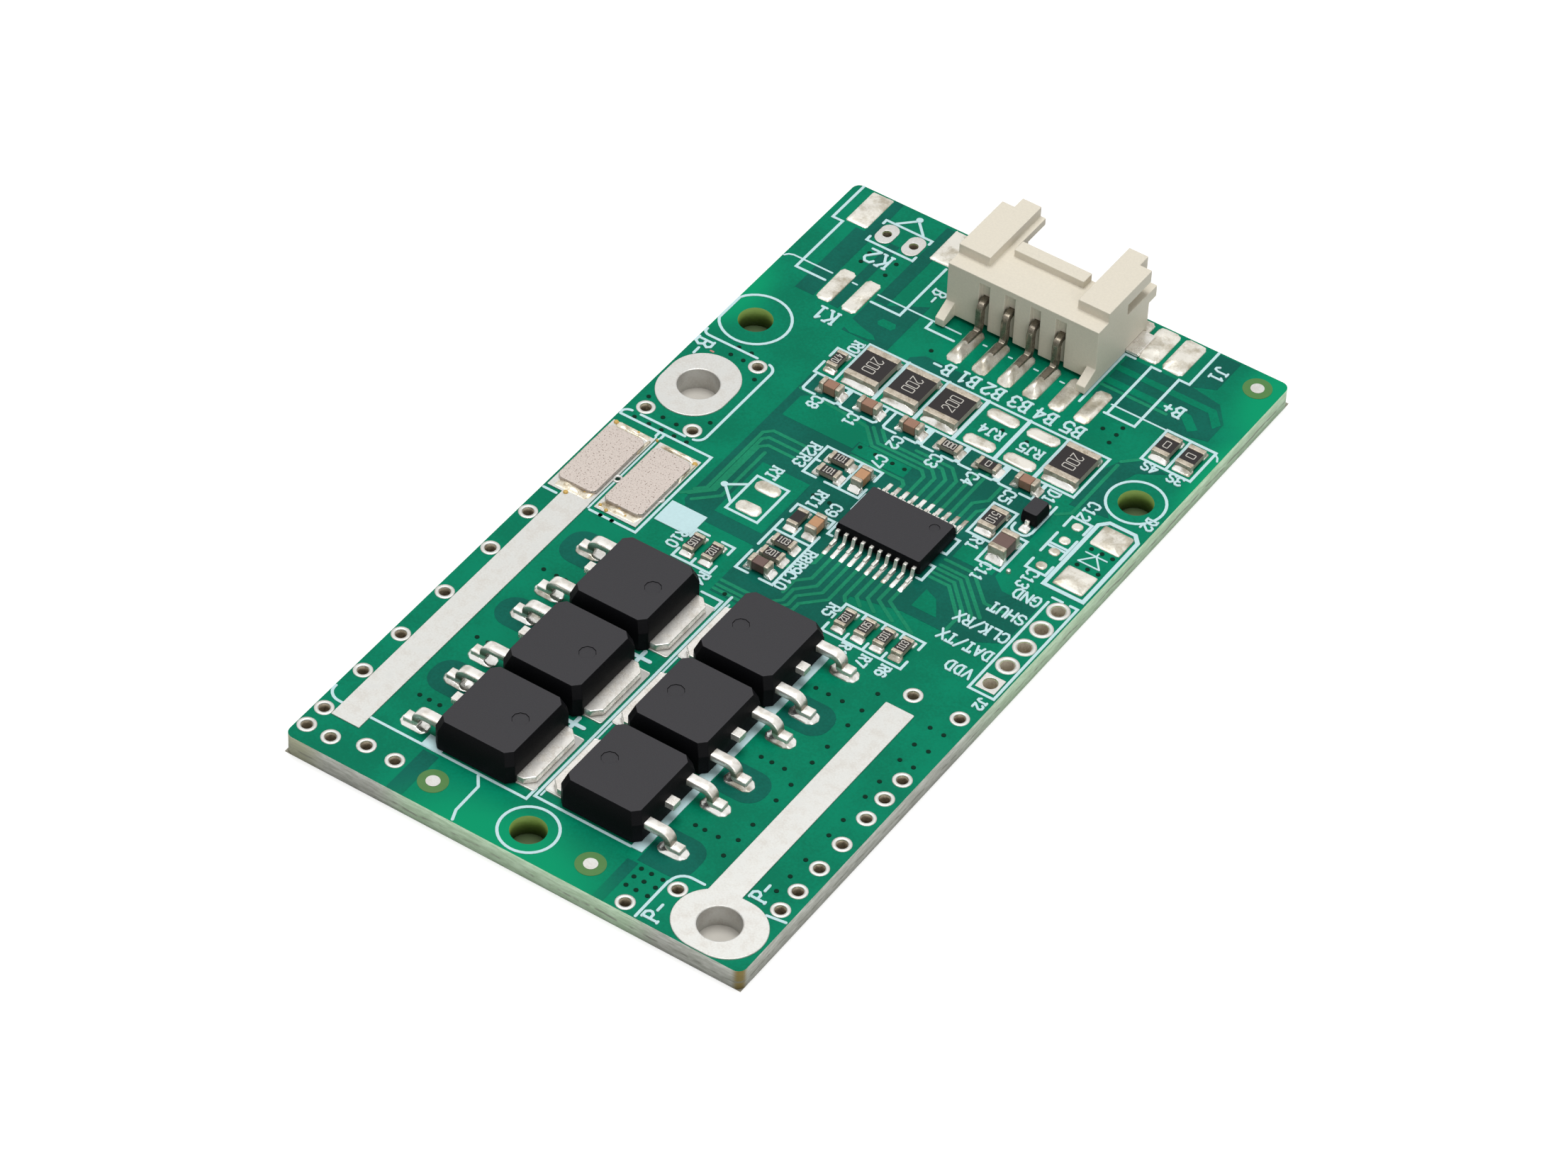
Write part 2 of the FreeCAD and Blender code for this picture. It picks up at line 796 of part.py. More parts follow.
def connector_lands():
    first = contact_x[0]
    xs = [first + i * contact_pitch for i in range(row_land_count)]
    lands = [row_land(x) for x in xs]
    anchors = [first - anchor_land_offset]
    anchors += [xs[i] + anchor_land_offset for i in range(contact_count - 1, row_land_count)]
    return lands, [anchor_land(x) for x in anchors]


def row_land(x):
    y1 = connector_lands_front + row_land_length
    return box(x - row_land_width / 2, x + row_land_width / 2, connector_lands_front, y1, top, seat)


def anchor_land(x):
    y = back_edge - edge_land_gap - anchor_land_length / 2
    return eased_plate(x, y, anchor_land_width, anchor_land_length, land_corner, top, land_thickness)


def empty_header_lands():
    lands = []
    for side in (-1, 1):
        lands.append(row_land(empty_header_x + side * contact_pitch / 2))
        lands.append(anchor_land(empty_header_x + side * (contact_pitch / 2 + anchor_land_offset)))
    return lands


def build():
    parts = {"bare_board": bare_board()}
    parts["small_hole_rings"] = [small_ring(x, y) for x, y in small_hole_places()]
    parts["header_hole_sleeves"] = [header_hole(x, y) for x, y in header_places()]
    parts["probe_hole_sleeves"] = [probe_hole(x, y) for x, y in probe_places()]
    cell_side, pack_side = terminal_places()
    parts["cell_terminal"] = terminal(*cell_side, terminal_width, terminal_length, [])
    right_strip = bus_strip(right_strip_x, right_terminal_y, balance_line + right_strip_rear)
    parts["pack_terminal"] = terminal(*pack_side, terminal_length, terminal_width, [right_strip])
    strip_rear = balance_line + tab_y - tab_land_length / 2
    left_strip = bus_strip(left_strip_x, front_edge + left_strip_front_inset, strip_rear)
    parts["left_bus_strip"] = left_strip.fuse(weld_land(tab_x[0])).removeSplitter()
    parts["inner_weld_land"] = weld_land(tab_x[1])
    parts["outer_weld_tab"] = weld_tab(tab_x[0])
    parts["inner_weld_tab"] = weld_tab(tab_x[1])

    for name, shape in transistor().items():
        parts[f"transistor_{name}"] = [placed(shape, x, y, seat, turn) for x, y, turn in transistor_places()]
    parts["transistor_lands"] = transistor_lands()

    parts["controller_body"], parts["controller_leads"] = controller()
    parts["diode_body"], parts["diode_leads"] = diode()

    anchors = [anchor(side, 0) for side in (-1, 1)]
    pins = [contact(x) for x in contact_x]
    housing = connector_housing()
    for side in (-1, 1):
        housing = housing.cut(anchor(side, anchor_clearance))
    parts["connector_housing"] = housing.cut(pins)
    for number, pin in enumerate(pins, 1):
        parts[f"contact_{number}"] = pin
    parts["left_anchor"], parts["right_anchor"] = anchors
    row_lands, anchor_lands = connector_lands()
    parts["connector_lands"] = row_lands + anchor_lands

    chip_land_solids = controller_lands() + diode_lands()
    balance_ends = []
    for number, x in enumerate(balance_places(True), 1):
        core, ends = chip(balance_chip, x, balance_line, False, True)
        parts[f"balance_resistor_{number}"] = core
        balance_ends += ends
        chip_land_solids += chip_lands(balance_chip, x, balance_line, False)
    parts["balance_resistor_ends"] = balance_ends
    for kind, chips in (("resistor", small_resistors), ("capacitor", small_capacitors)):
        cores = []
        caps = []
        for size, x, y, across in chips:
            core, ends = chip(size, x, balance_line + y, across, False)
            cores.append(core)
            caps += ends
            chip_land_solids += chip_lands(size, x, balance_line + y, across)
        parts[f"chip_{kind}s"] = cores
        parts[f"chip_{kind}_ends"] = caps
    parts["chip_lands"] = chip_land_solids
    parts["spare_lands"] = empty_balance_lands() + empty_header_lands() + [
        centred_box(x, balance_line + y, width, length, top, land_thickness)
        for x, y, width, length in bare_lands
    ]
    return parts


os.makedirs("parts", exist_ok=True)
for name, shape in build().items():
    solid = Part.makeCompound(shape) if isinstance(shape, list) else shape
    solid.exportStep(f"parts/{name}.step")
    print(name, len(solid.Solids), round(solid.Volume, 3), solid.isValid())
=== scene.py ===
import bmesh
import bpy
import json
import math
import random
from mathutils import Matrix, Vector

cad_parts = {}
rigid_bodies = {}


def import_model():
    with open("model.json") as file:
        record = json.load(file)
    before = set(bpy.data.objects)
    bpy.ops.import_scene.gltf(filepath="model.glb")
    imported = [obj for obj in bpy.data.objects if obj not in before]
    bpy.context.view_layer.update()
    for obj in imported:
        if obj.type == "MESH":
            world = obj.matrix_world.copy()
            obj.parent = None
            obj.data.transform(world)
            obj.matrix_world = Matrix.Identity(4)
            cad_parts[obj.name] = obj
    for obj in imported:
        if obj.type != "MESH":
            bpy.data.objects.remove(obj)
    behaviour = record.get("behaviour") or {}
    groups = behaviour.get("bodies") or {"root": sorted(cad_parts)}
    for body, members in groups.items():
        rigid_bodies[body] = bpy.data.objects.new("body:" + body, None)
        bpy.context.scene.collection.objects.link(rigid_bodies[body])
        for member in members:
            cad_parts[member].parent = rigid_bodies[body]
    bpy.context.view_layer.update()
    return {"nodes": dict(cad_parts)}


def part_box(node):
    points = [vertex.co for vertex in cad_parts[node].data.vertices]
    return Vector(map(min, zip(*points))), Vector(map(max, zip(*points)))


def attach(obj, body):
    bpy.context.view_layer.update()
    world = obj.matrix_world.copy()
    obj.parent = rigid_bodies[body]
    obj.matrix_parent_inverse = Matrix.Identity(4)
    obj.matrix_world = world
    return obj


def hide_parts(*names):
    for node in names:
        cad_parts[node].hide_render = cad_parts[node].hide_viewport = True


for thing in list(bpy.data.objects):         # the start file's cube, lamp and camera
    bpy.data.objects.remove(thing)
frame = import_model()
mm = 0.001
print("frame loaded:", len(frame["nodes"]), "nodes")

board = {"width": 34.5, "length": 64.5, "top": 1.6, "land": 1.7, "corner": 0.6, "rimSteps": 5,
         "holeSteps": 40, "plating": 0.05, "margin": 0.7}


# helpers for shader and geometry nodes

def tone(red, green, blue):                  # a screen colour, 0 to 255, as Blender's linear one
    linear = []
    for part in (red, green, blue):
        part /= 255
        linear.append(part / 12.92 if part <= 0.04045 else ((part + 0.055) / 1.055) ** 2.4)
    return (*linear, 1.0)


class Wire:                                  # an output socket that can stand in a sum
    def __init__(self, nodes, socket):
        self.nodes = nodes
        self.socket = socket

    def sum(self, operation, left, right):
        return self.nodes.put("ShaderNodeMath", {"operation": operation}, {0: left, 1: right})

    def __add__(self, other):
        return self.sum("ADD", self, other)

    def __sub__(self, other):
        return self.sum("SUBTRACT", self, other)

    def __rsub__(self, other):
        return self.sum("SUBTRACT", other, self)

    def __mul__(self, other):
        return self.sum("MULTIPLY", self, other)

    def __gt__(self, other):
        return self.sum("GREATER_THAN", self, other)

    def __lt__(self, other):
        return self.sum("LESS_THAN", self, other)

    __radd__ = __add__
    __rmul__ = __mul__


class Nodes:                                 # one node tree, of a material or of a modifier
    def __init__(self, tree):
        self.tree = tree

    def join(self, socket, value):
        if isinstance(value, Wire):
            self.tree.links.new(value.socket, socket)
        else:
            socket.default_value = value

    def put(self, kind, settings=None, sockets=None, output=0):
        made = self.tree.nodes.new(kind)
        for name, value in (settings or {}).items():
            if name == "stops":
                ramp = made.color_ramp
                while len(ramp.elements) < len(value):
                    ramp.elements.new(1.0)
                for element, (place, colour) in zip(ramp.elements, value):
                    element.position = place
                    element.color = colour
            else:
                setattr(made, name, value)
        for name, value in (sockets or {}).items():
            self.join(made.inputs[name], value)
        return Wire(self, made.outputs[output]) if len(made.outputs) else made


class Finish(Nodes):                         # a material with one Principled shader
    def __init__(self, name, roughness=0.5, metallic=0.0, coat=0.0):
        self.material = bpy.data.materials.new(name)
        self.material.use_nodes = True
        super().__init__(self.material.node_tree)
        self.shader = self.tree.nodes["Principled BSDF"]
        self.shader.inputs["Roughness"].default_value = roughness
        self.shader.inputs["Metallic"].default_value = metallic
        self.shader.inputs["Coat Weight"].default_value = coat
        self.place = self.put("ShaderNodeTexCoord", output="Object")

    def noise(self, scale, detail=3.0, roughness=0.5, place=None, stretch=None):
        place = place or self.place
        if stretch:
            place = self.put("ShaderNodeMapping", sockets={"Vector": place, "Scale": stretch})
        return self.put("ShaderNodeTexNoise", sockets={
            "Vector": place, "Scale": scale / mm, "Detail": detail, "Roughness": roughness})

    def height(self):                        # above the floor, in millimetres
        return self.put("ShaderNodeSeparateXYZ", sockets={0: self.place}, output=2) * (1 / mm)

    def ramp(self, factor, low, high):       # 0 to 1 as factor goes from low to high
        return self.put("ShaderNodeMapRange", {"interpolation_type": "SMOOTHSTEP"}, {
            "Value": factor, "From Min": low, "From Max": high, "To Min": 0.0, "To Max": 1.0})

    def blend(self, factor, first, second):
        return self.put("ShaderNodeMix", {"data_type": "RGBA"}, {0: factor, 6: first, 7: second}, 2)

    def zone(self, x, y, wide, long, core=0.35):     # 1 near x, y, and 0 outside an ellipse of that size
        away = self.put("ShaderNodeVectorMath", {"operation": "SUBTRACT"},
                        {0: self.place, 1: (x * mm, y * mm, 0)})
        away = self.put("ShaderNodeMapping", sockets={
            "Vector": away, "Scale": (1 / (wide * mm), 1 / (long * mm), 0)})
        far = self.put("ShaderNodeVectorMath", {"operation": "LENGTH"}, {0: away}, 1)
        return self.ramp(far, 1.0, core)

    def anyZone(self, zones):
        total = self.zone(*zones[0])
        for ellipse in zones[1:]:
            total = total.sum("MAXIMUM", total, self.zone(*ellipse))
        return total

    def set(self, socket, value):
        self.join(self.shader.inputs[socket], value)

    def bump(self, height, strength, distance):
        self.set("Normal", self.put("ShaderNodeBump", sockets={
            "Height": height, "Strength": strength, "Distance": distance * mm}))


# finishes

finishes = {name: tone(*colour) for name, colour in {
    "maskOverCopper": (0, 116, 86), "maskOverGlass": (10, 90, 76), "maskOverTrace": (26, 126, 92),
    "maskLit": (0, 142, 98),
    "glassPale": (202, 228, 198), "glassPaleDeep": (178, 206, 172), "glassGrey": (196, 198, 190),
    "glassGreyDeep": (166, 168, 158), "glassSeam": (120, 122, 110), "glassStain": (128, 112, 58),
    "glassWarm": (172, 174, 148), "bareGlass": (70, 116, 56), "drilled": (110, 136, 60),
    "drilledPaintedShade": (84, 104, 40),
    "tin": (197, 197, 193), "tinDeep": (184, 181, 175), "solder": (240, 239, 235),
    "solderDeep": (158, 152, 136), "weld": (222, 214, 196), "weldDeep": (150, 134, 104),
    "coat": (226, 222, 212), "coatDeep": (172, 164, 146), "nickel": (192, 181, 173),
    "nickelSpeck": (100, 80, 66),
    "lead": (232, 229, 223), "leadDeep": (198, 192, 182), "leadShade": (116, 106, 88),
    # the contact pins' dark colours are painted shade
    "contact": (132, 124, 110), "contactDeep": (84, 78, 68), "chipEnd": (190, 180, 164),
    "chipEndDeep": (134, 122, 102),
    # the small hole barrel colours, darker and browner than the tin, are painted shade inside the holes
    "barrel": (172, 160, 138), "barrelDeep": (104, 94, 76), "barrelWide": (226, 218, 202),
    # the small via colour is painted shade standing for the via holes
    "barrelWideDeep": (186, 174, 154), "hole": (8, 42, 30),
    # the darker package side colour is painted shade
    "package": (44, 43, 46), "packageSide": (13, 13, 15), "housing": (213, 206, 190),
    "resistorTop": (38, 34, 34), "resistorSide": (140, 132, 118),
    "capacitor": (144, 108, 88), "capacitorLight": (178, 134, 98), "capacitorDark": (100, 78, 72),
    "ink": (184, 213, 216), "marking": (190, 186, 178), "flux": (196, 160, 84),
    "smudge": (176, 120, 112)}.items()}


def shaded(colour, share):
    return tuple(share * part for part in colour[:3]) + (1.0,)


def metal(name, colour, deep, metallic, roughness, grain, bumpHeight, fineShare=0.4):
    made = Finish(name, roughness, metallic)
    cloud = made.noise(grain, 4.0)
    fine = made.noise(grain * 7, 2.0)
    mixed = cloud * (1 - fineShare) + fine * fineShare
    made.set("Base Color", made.blend(made.ramp(mixed, 0.4, 0.68), colour, deep))
    made.set("Roughness", cloud * 0.3 + (roughness - 0.15))
    made.bump(cloud, 0.35, bumpHeight)
    return made.material


def nickelFinish():                          # rolled strip with fine dark specks
    made = Finish("nickel strip", 0.42, 0.5)
    fine = made.noise(9.0, 1.0)
    specks = made.ramp(made.noise(10.0, 0.0), 0.69, 0.75)
    base = made.blend(made.ramp(fine, 0.35, 0.65), finishes["nickel"], shaded(finishes["nickel"], 0.88))
    made.set("Base Color", made.blend(specks, base, finishes["nickelSpeck"]))
    made.set("Roughness", fine * 0.2 + 0.34)
    made.bump(fine, 0.3, 0.01)
    return made.material


def plastic(name, colour, roughness, grain, bumpHeight, shine=0.3):
    made = Finish(name, roughness)
    made.set("Specular IOR Level", shine)
    cloud = made.noise(grain, 5.0, 0.6)
    made.set("Base Color", made.blend(cloud, shaded(colour, 1.1), shaded(colour, 0.9)))
    made.set("Roughness", cloud * 0.14 + (roughness - 0.07))
    made.bump(cloud, 0.5, bumpHeight)
    return made.material


litPlaces = [                                # light comes through where there is no copper near the rim
    (-0.5, -33.0, 10.5, 5.5), (-18.2, 18.3, 3.6, 5.5), (17.8, 30.5, 4.2, 6.5), (18.2, 22.0, 2.6, 7.0)]


def maskFinish(name, colour):
    made = Finish(name, 0.32)
    made.set("Specular IOR Level", 0.06)
    cloud = made.noise(0.25, 2.0)
    fine = made.noise(6.0, 2.0)
    grain = made.ramp(cloud * 0.6 + fine * 0.4, 0.36, 0.64)
    base = made.blend(grain, shaded(colour, 1.14), shaded(colour, 0.88))
    made.set("Base Color", made.blend(made.anyZone(litPlaces), base, finishes["maskLit"]))
    made.bump(made.noise(1.2, 2.0), 0.15, 0.02)
    return made.material


palePlaces = [                               # no copper ends here: middle, half width, half length and core
    (0.5, -32.2, 11, 3, 0.7), (17.2, 22.0, 3, 32, 0.7), (-17.2, 20, 3, 30, 0.7), (0, 32.2, 20, 3, 0.8)]


def glassEdge():                             # cut edge of the laminate: layers of cloth, grey where copper ends
    made = Finish("cut laminate edge", 0.7)
    layers = made.ramp(made.noise(1.4, 5.0, 0.7, stretch=(0.6, 0.6, 3.5)), 0.36, 0.62)
    grey = made.blend(layers, finishes["glassGreyDeep"], finishes["glassGrey"])
    pale = made.blend(layers, finishes["glassPaleDeep"], finishes["glassPale"])
    base = made.blend(made.anyZone(palePlaces), grey, pale)
    base = made.blend(made.zone(-17.2, -32.2, 3.4, 2.0), base, finishes["glassWarm"])
    base = made.blend(made.zone(17.25, -32.25, 0.8, 0.8), base, finishes["glassStain"])
    height = made.height()
    wave = made.noise(0.5, 3.0) * 0.5
    away = made.put("ShaderNodeMath", {"operation": "ABSOLUTE"}, {0: height + wave - 0.85})
    seam = made.ramp(away, 0.14, 0.02) * made.ramp(made.noise(0.9, 2.0), 0.4, 0.6)
    made.set("Base Color", made.blend(seam * 0.75, base, finishes["glassSeam"]))
    made.bump(layers, 0.5, 0.06)
    return made.material


def formedLead():                            # bright on its flats, with painted shade where it drops to the board
    made = Finish("formed lead", 0.26, 0.6)
    cloud = made.noise(1.6, 4.0)
    base = made.blend(made.ramp(cloud, 0.4, 0.68), finishes["lead"], finishes["leadDeep"])
    height = made.height()
    # painted shade on the steep drop between these heights
    shade = made.ramp(height, 3.02, 2.4) * made.ramp(height, 2.2, 2.3)
    made.set("Base Color", made.blend(shade * 0.85, base, finishes["leadShade"]))
    made.set("Roughness", cloud * 0.3 + 0.12)
    made.bump(cloud, 0.3, 0.01)
    return made.material


def drilledFinish():                         # wall of a drilled hole: painted light near the top, where light comes through the laminate, and painted shade towards the bottom
    made = Finish("drilled laminate", 0.7)
    height = made.height()
    # painted shade: the wall's colour darkens towards the bottom of the hole
    mixed = made.ramp(height + made.noise(1.5, 3.0) * 0.8, 0.7, 1.8)
    made.set("Base Color", made.blend(mixed, finishes["drilledPaintedShade"], finishes["drilled"]))
    made.bump(made.noise(4.0, 3.0), 0.5, 0.05)
    return made.material


paint = {
    "mask": maskFinish("solder mask over copper", finishes["maskOverCopper"]),
    "maskDark": maskFinish("solder mask over bare glass and painted shadow", finishes["maskOverGlass"]),
    "maskTrace": maskFinish("solder mask over a trace", finishes["maskOverTrace"]),
    "edge": glassEdge(), "drilled": drilledFinish(), "nickel": nickelFinish(), "formedLead": formedLead()}
metals = {                                   # metallic, roughness, grain, bump height, share of fine grain
    "tin": ("tinned copper", 0.5, 0.42, 1.1, 0.015), "solder": ("solder", 0.8, 0.2, 0.9, 0.05, 0.12),
    "weld": ("solder round a weld", 0.6, 0.28, 1.6, 0.04, 0.3),
    "coat": ("solder coat", 0.6, 0.28, 0.9, 0.03, 0.2), "lead": ("tinned lead", 0.62, 0.26, 1.6, 0.01),
    "contact": ("contact pin", 0.7, 0.3, 2.4, 0.02), "barrel": ("hole barrel", 0.3, 0.5, 3.5, 0.05),
    "barrelWide": ("wide hole barrel", 0.2, 0.4, 1.2, 0.03), "chipEnd": ("chip end", 0.45, 0.36, 2.4, 0.02)}
plastics = {                                 # roughness, grain, bump height, shine
    "package": ("moulded package", 0.5, 9.0, 0.02, 0.2),
    "packageSide": ("moulded package side", 0.5, 9.0, 0.02, 0.05),
    "resistorTop": ("resistor glaze", 0.35, 4.0, 0.006, 0.2),
    "resistorSide": ("resistor ceramic", 0.5, 4.0, 0.006), "capacitor": ("capacitor ceramic", 0.42, 2.5, 0.008),
    "capacitorLight": ("light capacitor ceramic", 0.42, 2.5, 0.008),
    "capacitorDark": ("dark capacitor ceramic", 0.42, 2.5, 0.008),
    "housing": ("connector plastic", 0.44, 6.0, 0.008), "ink": ("legend ink", 0.5, 5.0, 0.004),
    "marking": ("value marking", 0.6, 5.0, 0.002), "bareGlass": ("bare laminate", 0.45, 2.0, 0.004),
    "hole": ("small via", 0.6, 5.0, 0.002, 0.05), "flux": ("dried flux", 0.2, 3.0, 0.01),
    "smudge": ("smudge", 0.5, 3.0, 0.002)}
for finish, (title, *values) in metals.items():
    paint[finish] = metal(title, finishes[finish], finishes[finish + "Deep"], *values)
for finish, (title, *values) in plastics.items():
    paint[finish] = plastic(title, finishes[finish], *values)

slotPaint = {"board": "mask", "tinned_copper": "tin", "nickel": "nickel", "lead_metal": "lead",
             "end_metal": "solder", "package": "package", "resistor": "resistorTop",
             "capacitor": "capacitor", "housing": "housing"}
for node in frame["nodes"].values():         # every solid that stays gets its finish in its own slots
    for place in node.material_slots:
        place.material = paint[slotPaint[place.material.name.split(".")[0]]]
print("finishes made:", len(paint))


# mesh helpers; all of them take millimetres

def workOn(mesh, weld=0.0):                  # a mesh to work on, its points welded if need be
    work = bmesh.new()
    work.from_mesh(mesh)
    if weld:
        bmesh.ops.remove_doubles(work, verts=work.verts, dist=weld)
    return work


def keepWork(work, mesh):                    # puts the work back into a mesh
    work.to_mesh(mesh)
    work.free()
    return mesh


def taken(holder):                           # an object's evaluated shape as a plain mesh; the object goes
    bpy.context.view_layer.update()
    made = bpy.data.meshes.new_from_object(holder.evaluated_get(bpy.context.evaluated_depsgraph_get()))
    bpy.data.objects.remove(holder)
    return made


def linked(name, data):                      # a new object in the scene
    made = bpy.data.objects.new(name, data)
    bpy.context.scene.collection.objects.link(made)
    return made


def islands(nodeName):                       # the lowest and highest corner of each solid of a node
    work = workOn(frame["nodes"][nodeName].data, 1e-7)
    reached = set()
    boxes = []
    for first in work.verts:
        if first in reached:
            continue
        reached.add(first)
        waiting = [first]
        points = []
        while waiting:
            vertex = waiting.pop()
            points.append(vertex.co / mm)
            for edge in vertex.link_edges:
                other = edge.other_vert(vertex)
                if other not in reached:
                    reached.add(other)
                    waiting.append(other)
        boxes.append(tuple(Vector(side(point[axis] for point in points) for axis in range(3))
                           for side in (min, max)))
    work.free()
    return boxes


def show(name, mesh, slot, *replaced):       # links a finished mesh, puts it on the root body and hides the nodes it replaces
    piece = linked(name, mesh)
    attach(piece, "root")
    if replaced:
        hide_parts(*replaced)
    return piece


def soften(mesh, sharpest):                  # smooth, but not over edges sharper than this many degrees
    mesh.shade_smooth()
    mesh.set_sharp_from_angle(angle=math.radians(sharpest))


def flatCurve(name, outlines, low, high):    # outlines with holes, filled and given a thickness
    curve = bpy.data.curves.new(name, "CURVE")
    curve.dimensions = "2D"
    curve.fill_mode = "BOTH"
    curve.extrude = (high - low) / 2 * mm
    for outline in outlines:
        spline = curve.splines.new("POLY")
        spline.points.add(len(outline) - 1)
        for point, (x, y) in zip(spline.points, outline):
            point.co = (x * mm, y * mm, 0, 1)
        spline.use_cyclic_u = True
    mesh = taken(linked(name, curve))
    mesh.transform(Matrix.Translation((0, 0, (low + high) / 2 * mm)))
    work = workOn(mesh, 1e-8)
    bmesh.ops.recalc_face_normals(work, faces=work.faces)
    keepWork(work, mesh)
    mesh.materials.clear()
    return mesh


def circle(x, y, radius, steps):
    turns = [2 * math.pi * step / steps for step in range(steps)]
    return [(x + radius * math.cos(turn), y + radius * math.sin(turn)) for turn in turns]


def arc(x, y, radius, start, end, steps):    # the angles are in degrees
    turns = [math.radians(start + (end - start) * step / steps) for step in range(steps + 1)]
    return [(x + radius * math.cos(turn), y + radius * math.sin(turn)) for turn in turns]


def roundedBox(low, high, radius, steps):    # an outline with rounded corners
    points = []
    for cornerX, cornerY, turn in ((high[0], high[1], 0), (low[0], high[1], 1), (low[0], low[1], 2),
                                   (high[0], low[1], 3)):
        centreX = cornerX - math.copysign(radius, cornerX - (low[0] + high[0]) / 2)
        centreY = cornerY - math.copysign(radius, cornerY - (low[1] + high[1]) / 2)
        for step in range(steps + 1):
            angle = math.pi / 2 * (turn + step / steps)
            points.append((centreX + radius * math.cos(angle), centreY + radius * math.sin(angle)))
    return points


def drawn(text):                             # paths of points, written as "x,y x,y | x,y x,y"
    return [[tuple(float(part) for part in pair.split(",")) for pair in path.split()]
            for path in text.split("|")]


# the bare board

smallRings = islands("small_hole_rings")
headerRings = islands("header_hole_sleeves")
probeRings = islands("probe_hole_sleeves")
fixingHoles = [(-15.05, 16.7, 1.2), (14.85, 16.7, 1.2), (-0.1, -30.05, 1.2)]
terminalHoles = [(-14.5, 9.2, 1.45), (13.9, -29.65, 1.45)]
bores = [(smallRings, 0.4, 20), (headerRings, 0.5, 24), (probeRings, 0.325, 20)]     # sleeves, radius, steps


def makeBoard():
    half = (board["width"] / 2, board["length"] / 2)
    outlines = [roundedBox((-half[0], -half[1]), half, board["corner"], board["rimSteps"])]
    for x, y, radius in fixingHoles:
        outlines.append(circle(x, y, radius, board["holeSteps"]))
    for x, y, radius in terminalHoles:
        outlines.append(circle(x, y, radius + board["plating"], board["holeSteps"]))
    for sleeves, radius, steps in bores:
        for low, high in sleeves:
            middle = (low + high) / 2
            outlines.append(circle(middle.x, middle.y, radius, steps))
    mesh = flatCurve("bare_board", outlines, 0.0, board["top"])
    for finish in ("mask", "edge", "drilled"):
        mesh.materials.append(paint[finish])
    for face in mesh.polygons:
        x, y, z = face.center / mm
        inside = abs(x) < half[0] - board["margin"] and abs(y) < half[1] - board["margin"]
        face.material_index = 0 if abs(face.normal.z) > 0.5 else 2 if inside else 1
    show("laminate", mesh, "board", "bare_board")


makeBoard()
print("board made")


# solids that keep their shape and get eased edges

def evenNormals(mesh):                       # large faces stay flat and only their eased edges turn the light
    mesh.shade_smooth()
    sums = [Vector((0, 0, 0)) for vertex in mesh.vertices]
    for face in mesh.polygons:
        for vertex in face.vertices:
            sums[vertex] += face.normal * face.area
    mesh.normals_split_custom_set_from_vertices([total.normalized() for total in sums])


easing = {"flat": 2, "sharp": 25, "sharpPlate": 60}     # degrees: merged faces, eased edges, rims of a plate


def easedMesh(nodeName, width, steps, back):
    work = workOn(frame["nodes"][nodeName].data, 1e-7)
    bmesh.ops.dissolve_limit(work, angle_limit=math.radians(easing["flat"]), verts=work.verts, edges=work.edges)
    rims = [edge for edge in work.edges
            if edge.is_manifold and edge.calc_face_angle(0.0) > math.radians(easing["sharp"])]
    bmesh.ops.bevel(work, geom=rims, offset=width * mm, segments=steps, profile=0.5, affect="EDGES",
                    clamp_overlap=True)
    if back:                                 # the sides step back behind the metal ends
        shifts = [(vertex, Vector((vertex.normal.x, vertex.normal.y, 0)) * back * mm) for vertex in work.verts]
        for vertex, shift in shifts:
            vertex.co -= shift
    mesh = keepWork(work, bpy.data.meshes.new(nodeName + " eased"))
    evenNormals(mesh)
    return mesh


easedNodes = {                               # nodes: edge width, steps, finish, slot
    "transistor_bodies": (0.12, 3, "package", "package"),
    "transistor_drain_tabs": (0.05, 2, "lead", "lead_metal"),
    "controller_body": (0.05, 2, "package", "package"),
    "controller_leads": (0.02, 1, "lead", "lead_metal"),
    "diode_body": (0.06, 2, "package", "package"),
    "diode_leads": (0.02, 1, "lead", "lead_metal"),
    "connector_housing": (0.07, 2, "housing", "housing"),
    # the contacts' darker finish is painted shade
    "contact_1 contact_2 contact_3 contact_4": (0.08, 2, "contact", "lead_metal"),
    "left_anchor right_anchor": (0.05, 2, "lead", "lead_metal"),
    "balance_resistor_1 balance_resistor_2 balance_resistor_3 balance_resistor_4":
        (0.04, 2, "resistorSide", "resistor"),
    "chip_resistors": (0.03, 2, "resistorSide", "resistor"),
    "chip_resistor_ends": (0.05, 2, "chipEnd", "end_metal"),
    "chip_capacitors": (0.06, 2, "capacitor", "capacitor"),
    "chip_capacitor_ends": (0.08, 2, "chipEnd", "end_metal"),
    "outer_weld_tab inner_weld_tab": (0.06, 2, "nickel", "nickel"),
    "left_bus_strip inner_weld_land": (0.04, 2, "tin", "tinned_copper")}
chips = {"setBack": 0.02, "tintReach": 1.2, "capEase": 0.05}         # the ceramic lies behind the metal ends
ceramicTints = [(-0.55, 2.3, 1), (-0.6, 7.75, 1), (10.3, 7.8, 2), (-1.4, -2.8, 2)]     # 1 is light, 2 is dark
otherFinishes = {"resistorSide": ["resistorTop"], "package": ["packageSide"],
                 "capacitor": ["capacitorLight", "capacitorDark"]}


def otherFinish(finish, face):               # which of a piece's finishes a face has, 0 for its main one
    if finish == "resistorSide":             # the glaze is on top, the ceramic shows at the sides
        return int(face.normal.z > 0.5)
    if finish == "package":                  # painted shade: the sides, which do not face up, get a darker colour with less shine than the top
        return int(face.normal.z < 0.9)
    found = 0
    for x, y, number in ceramicTints:
        if math.dist(face.center.xy / mm, (x, y)) < chips["tintReach"]:
            found = number
    return found


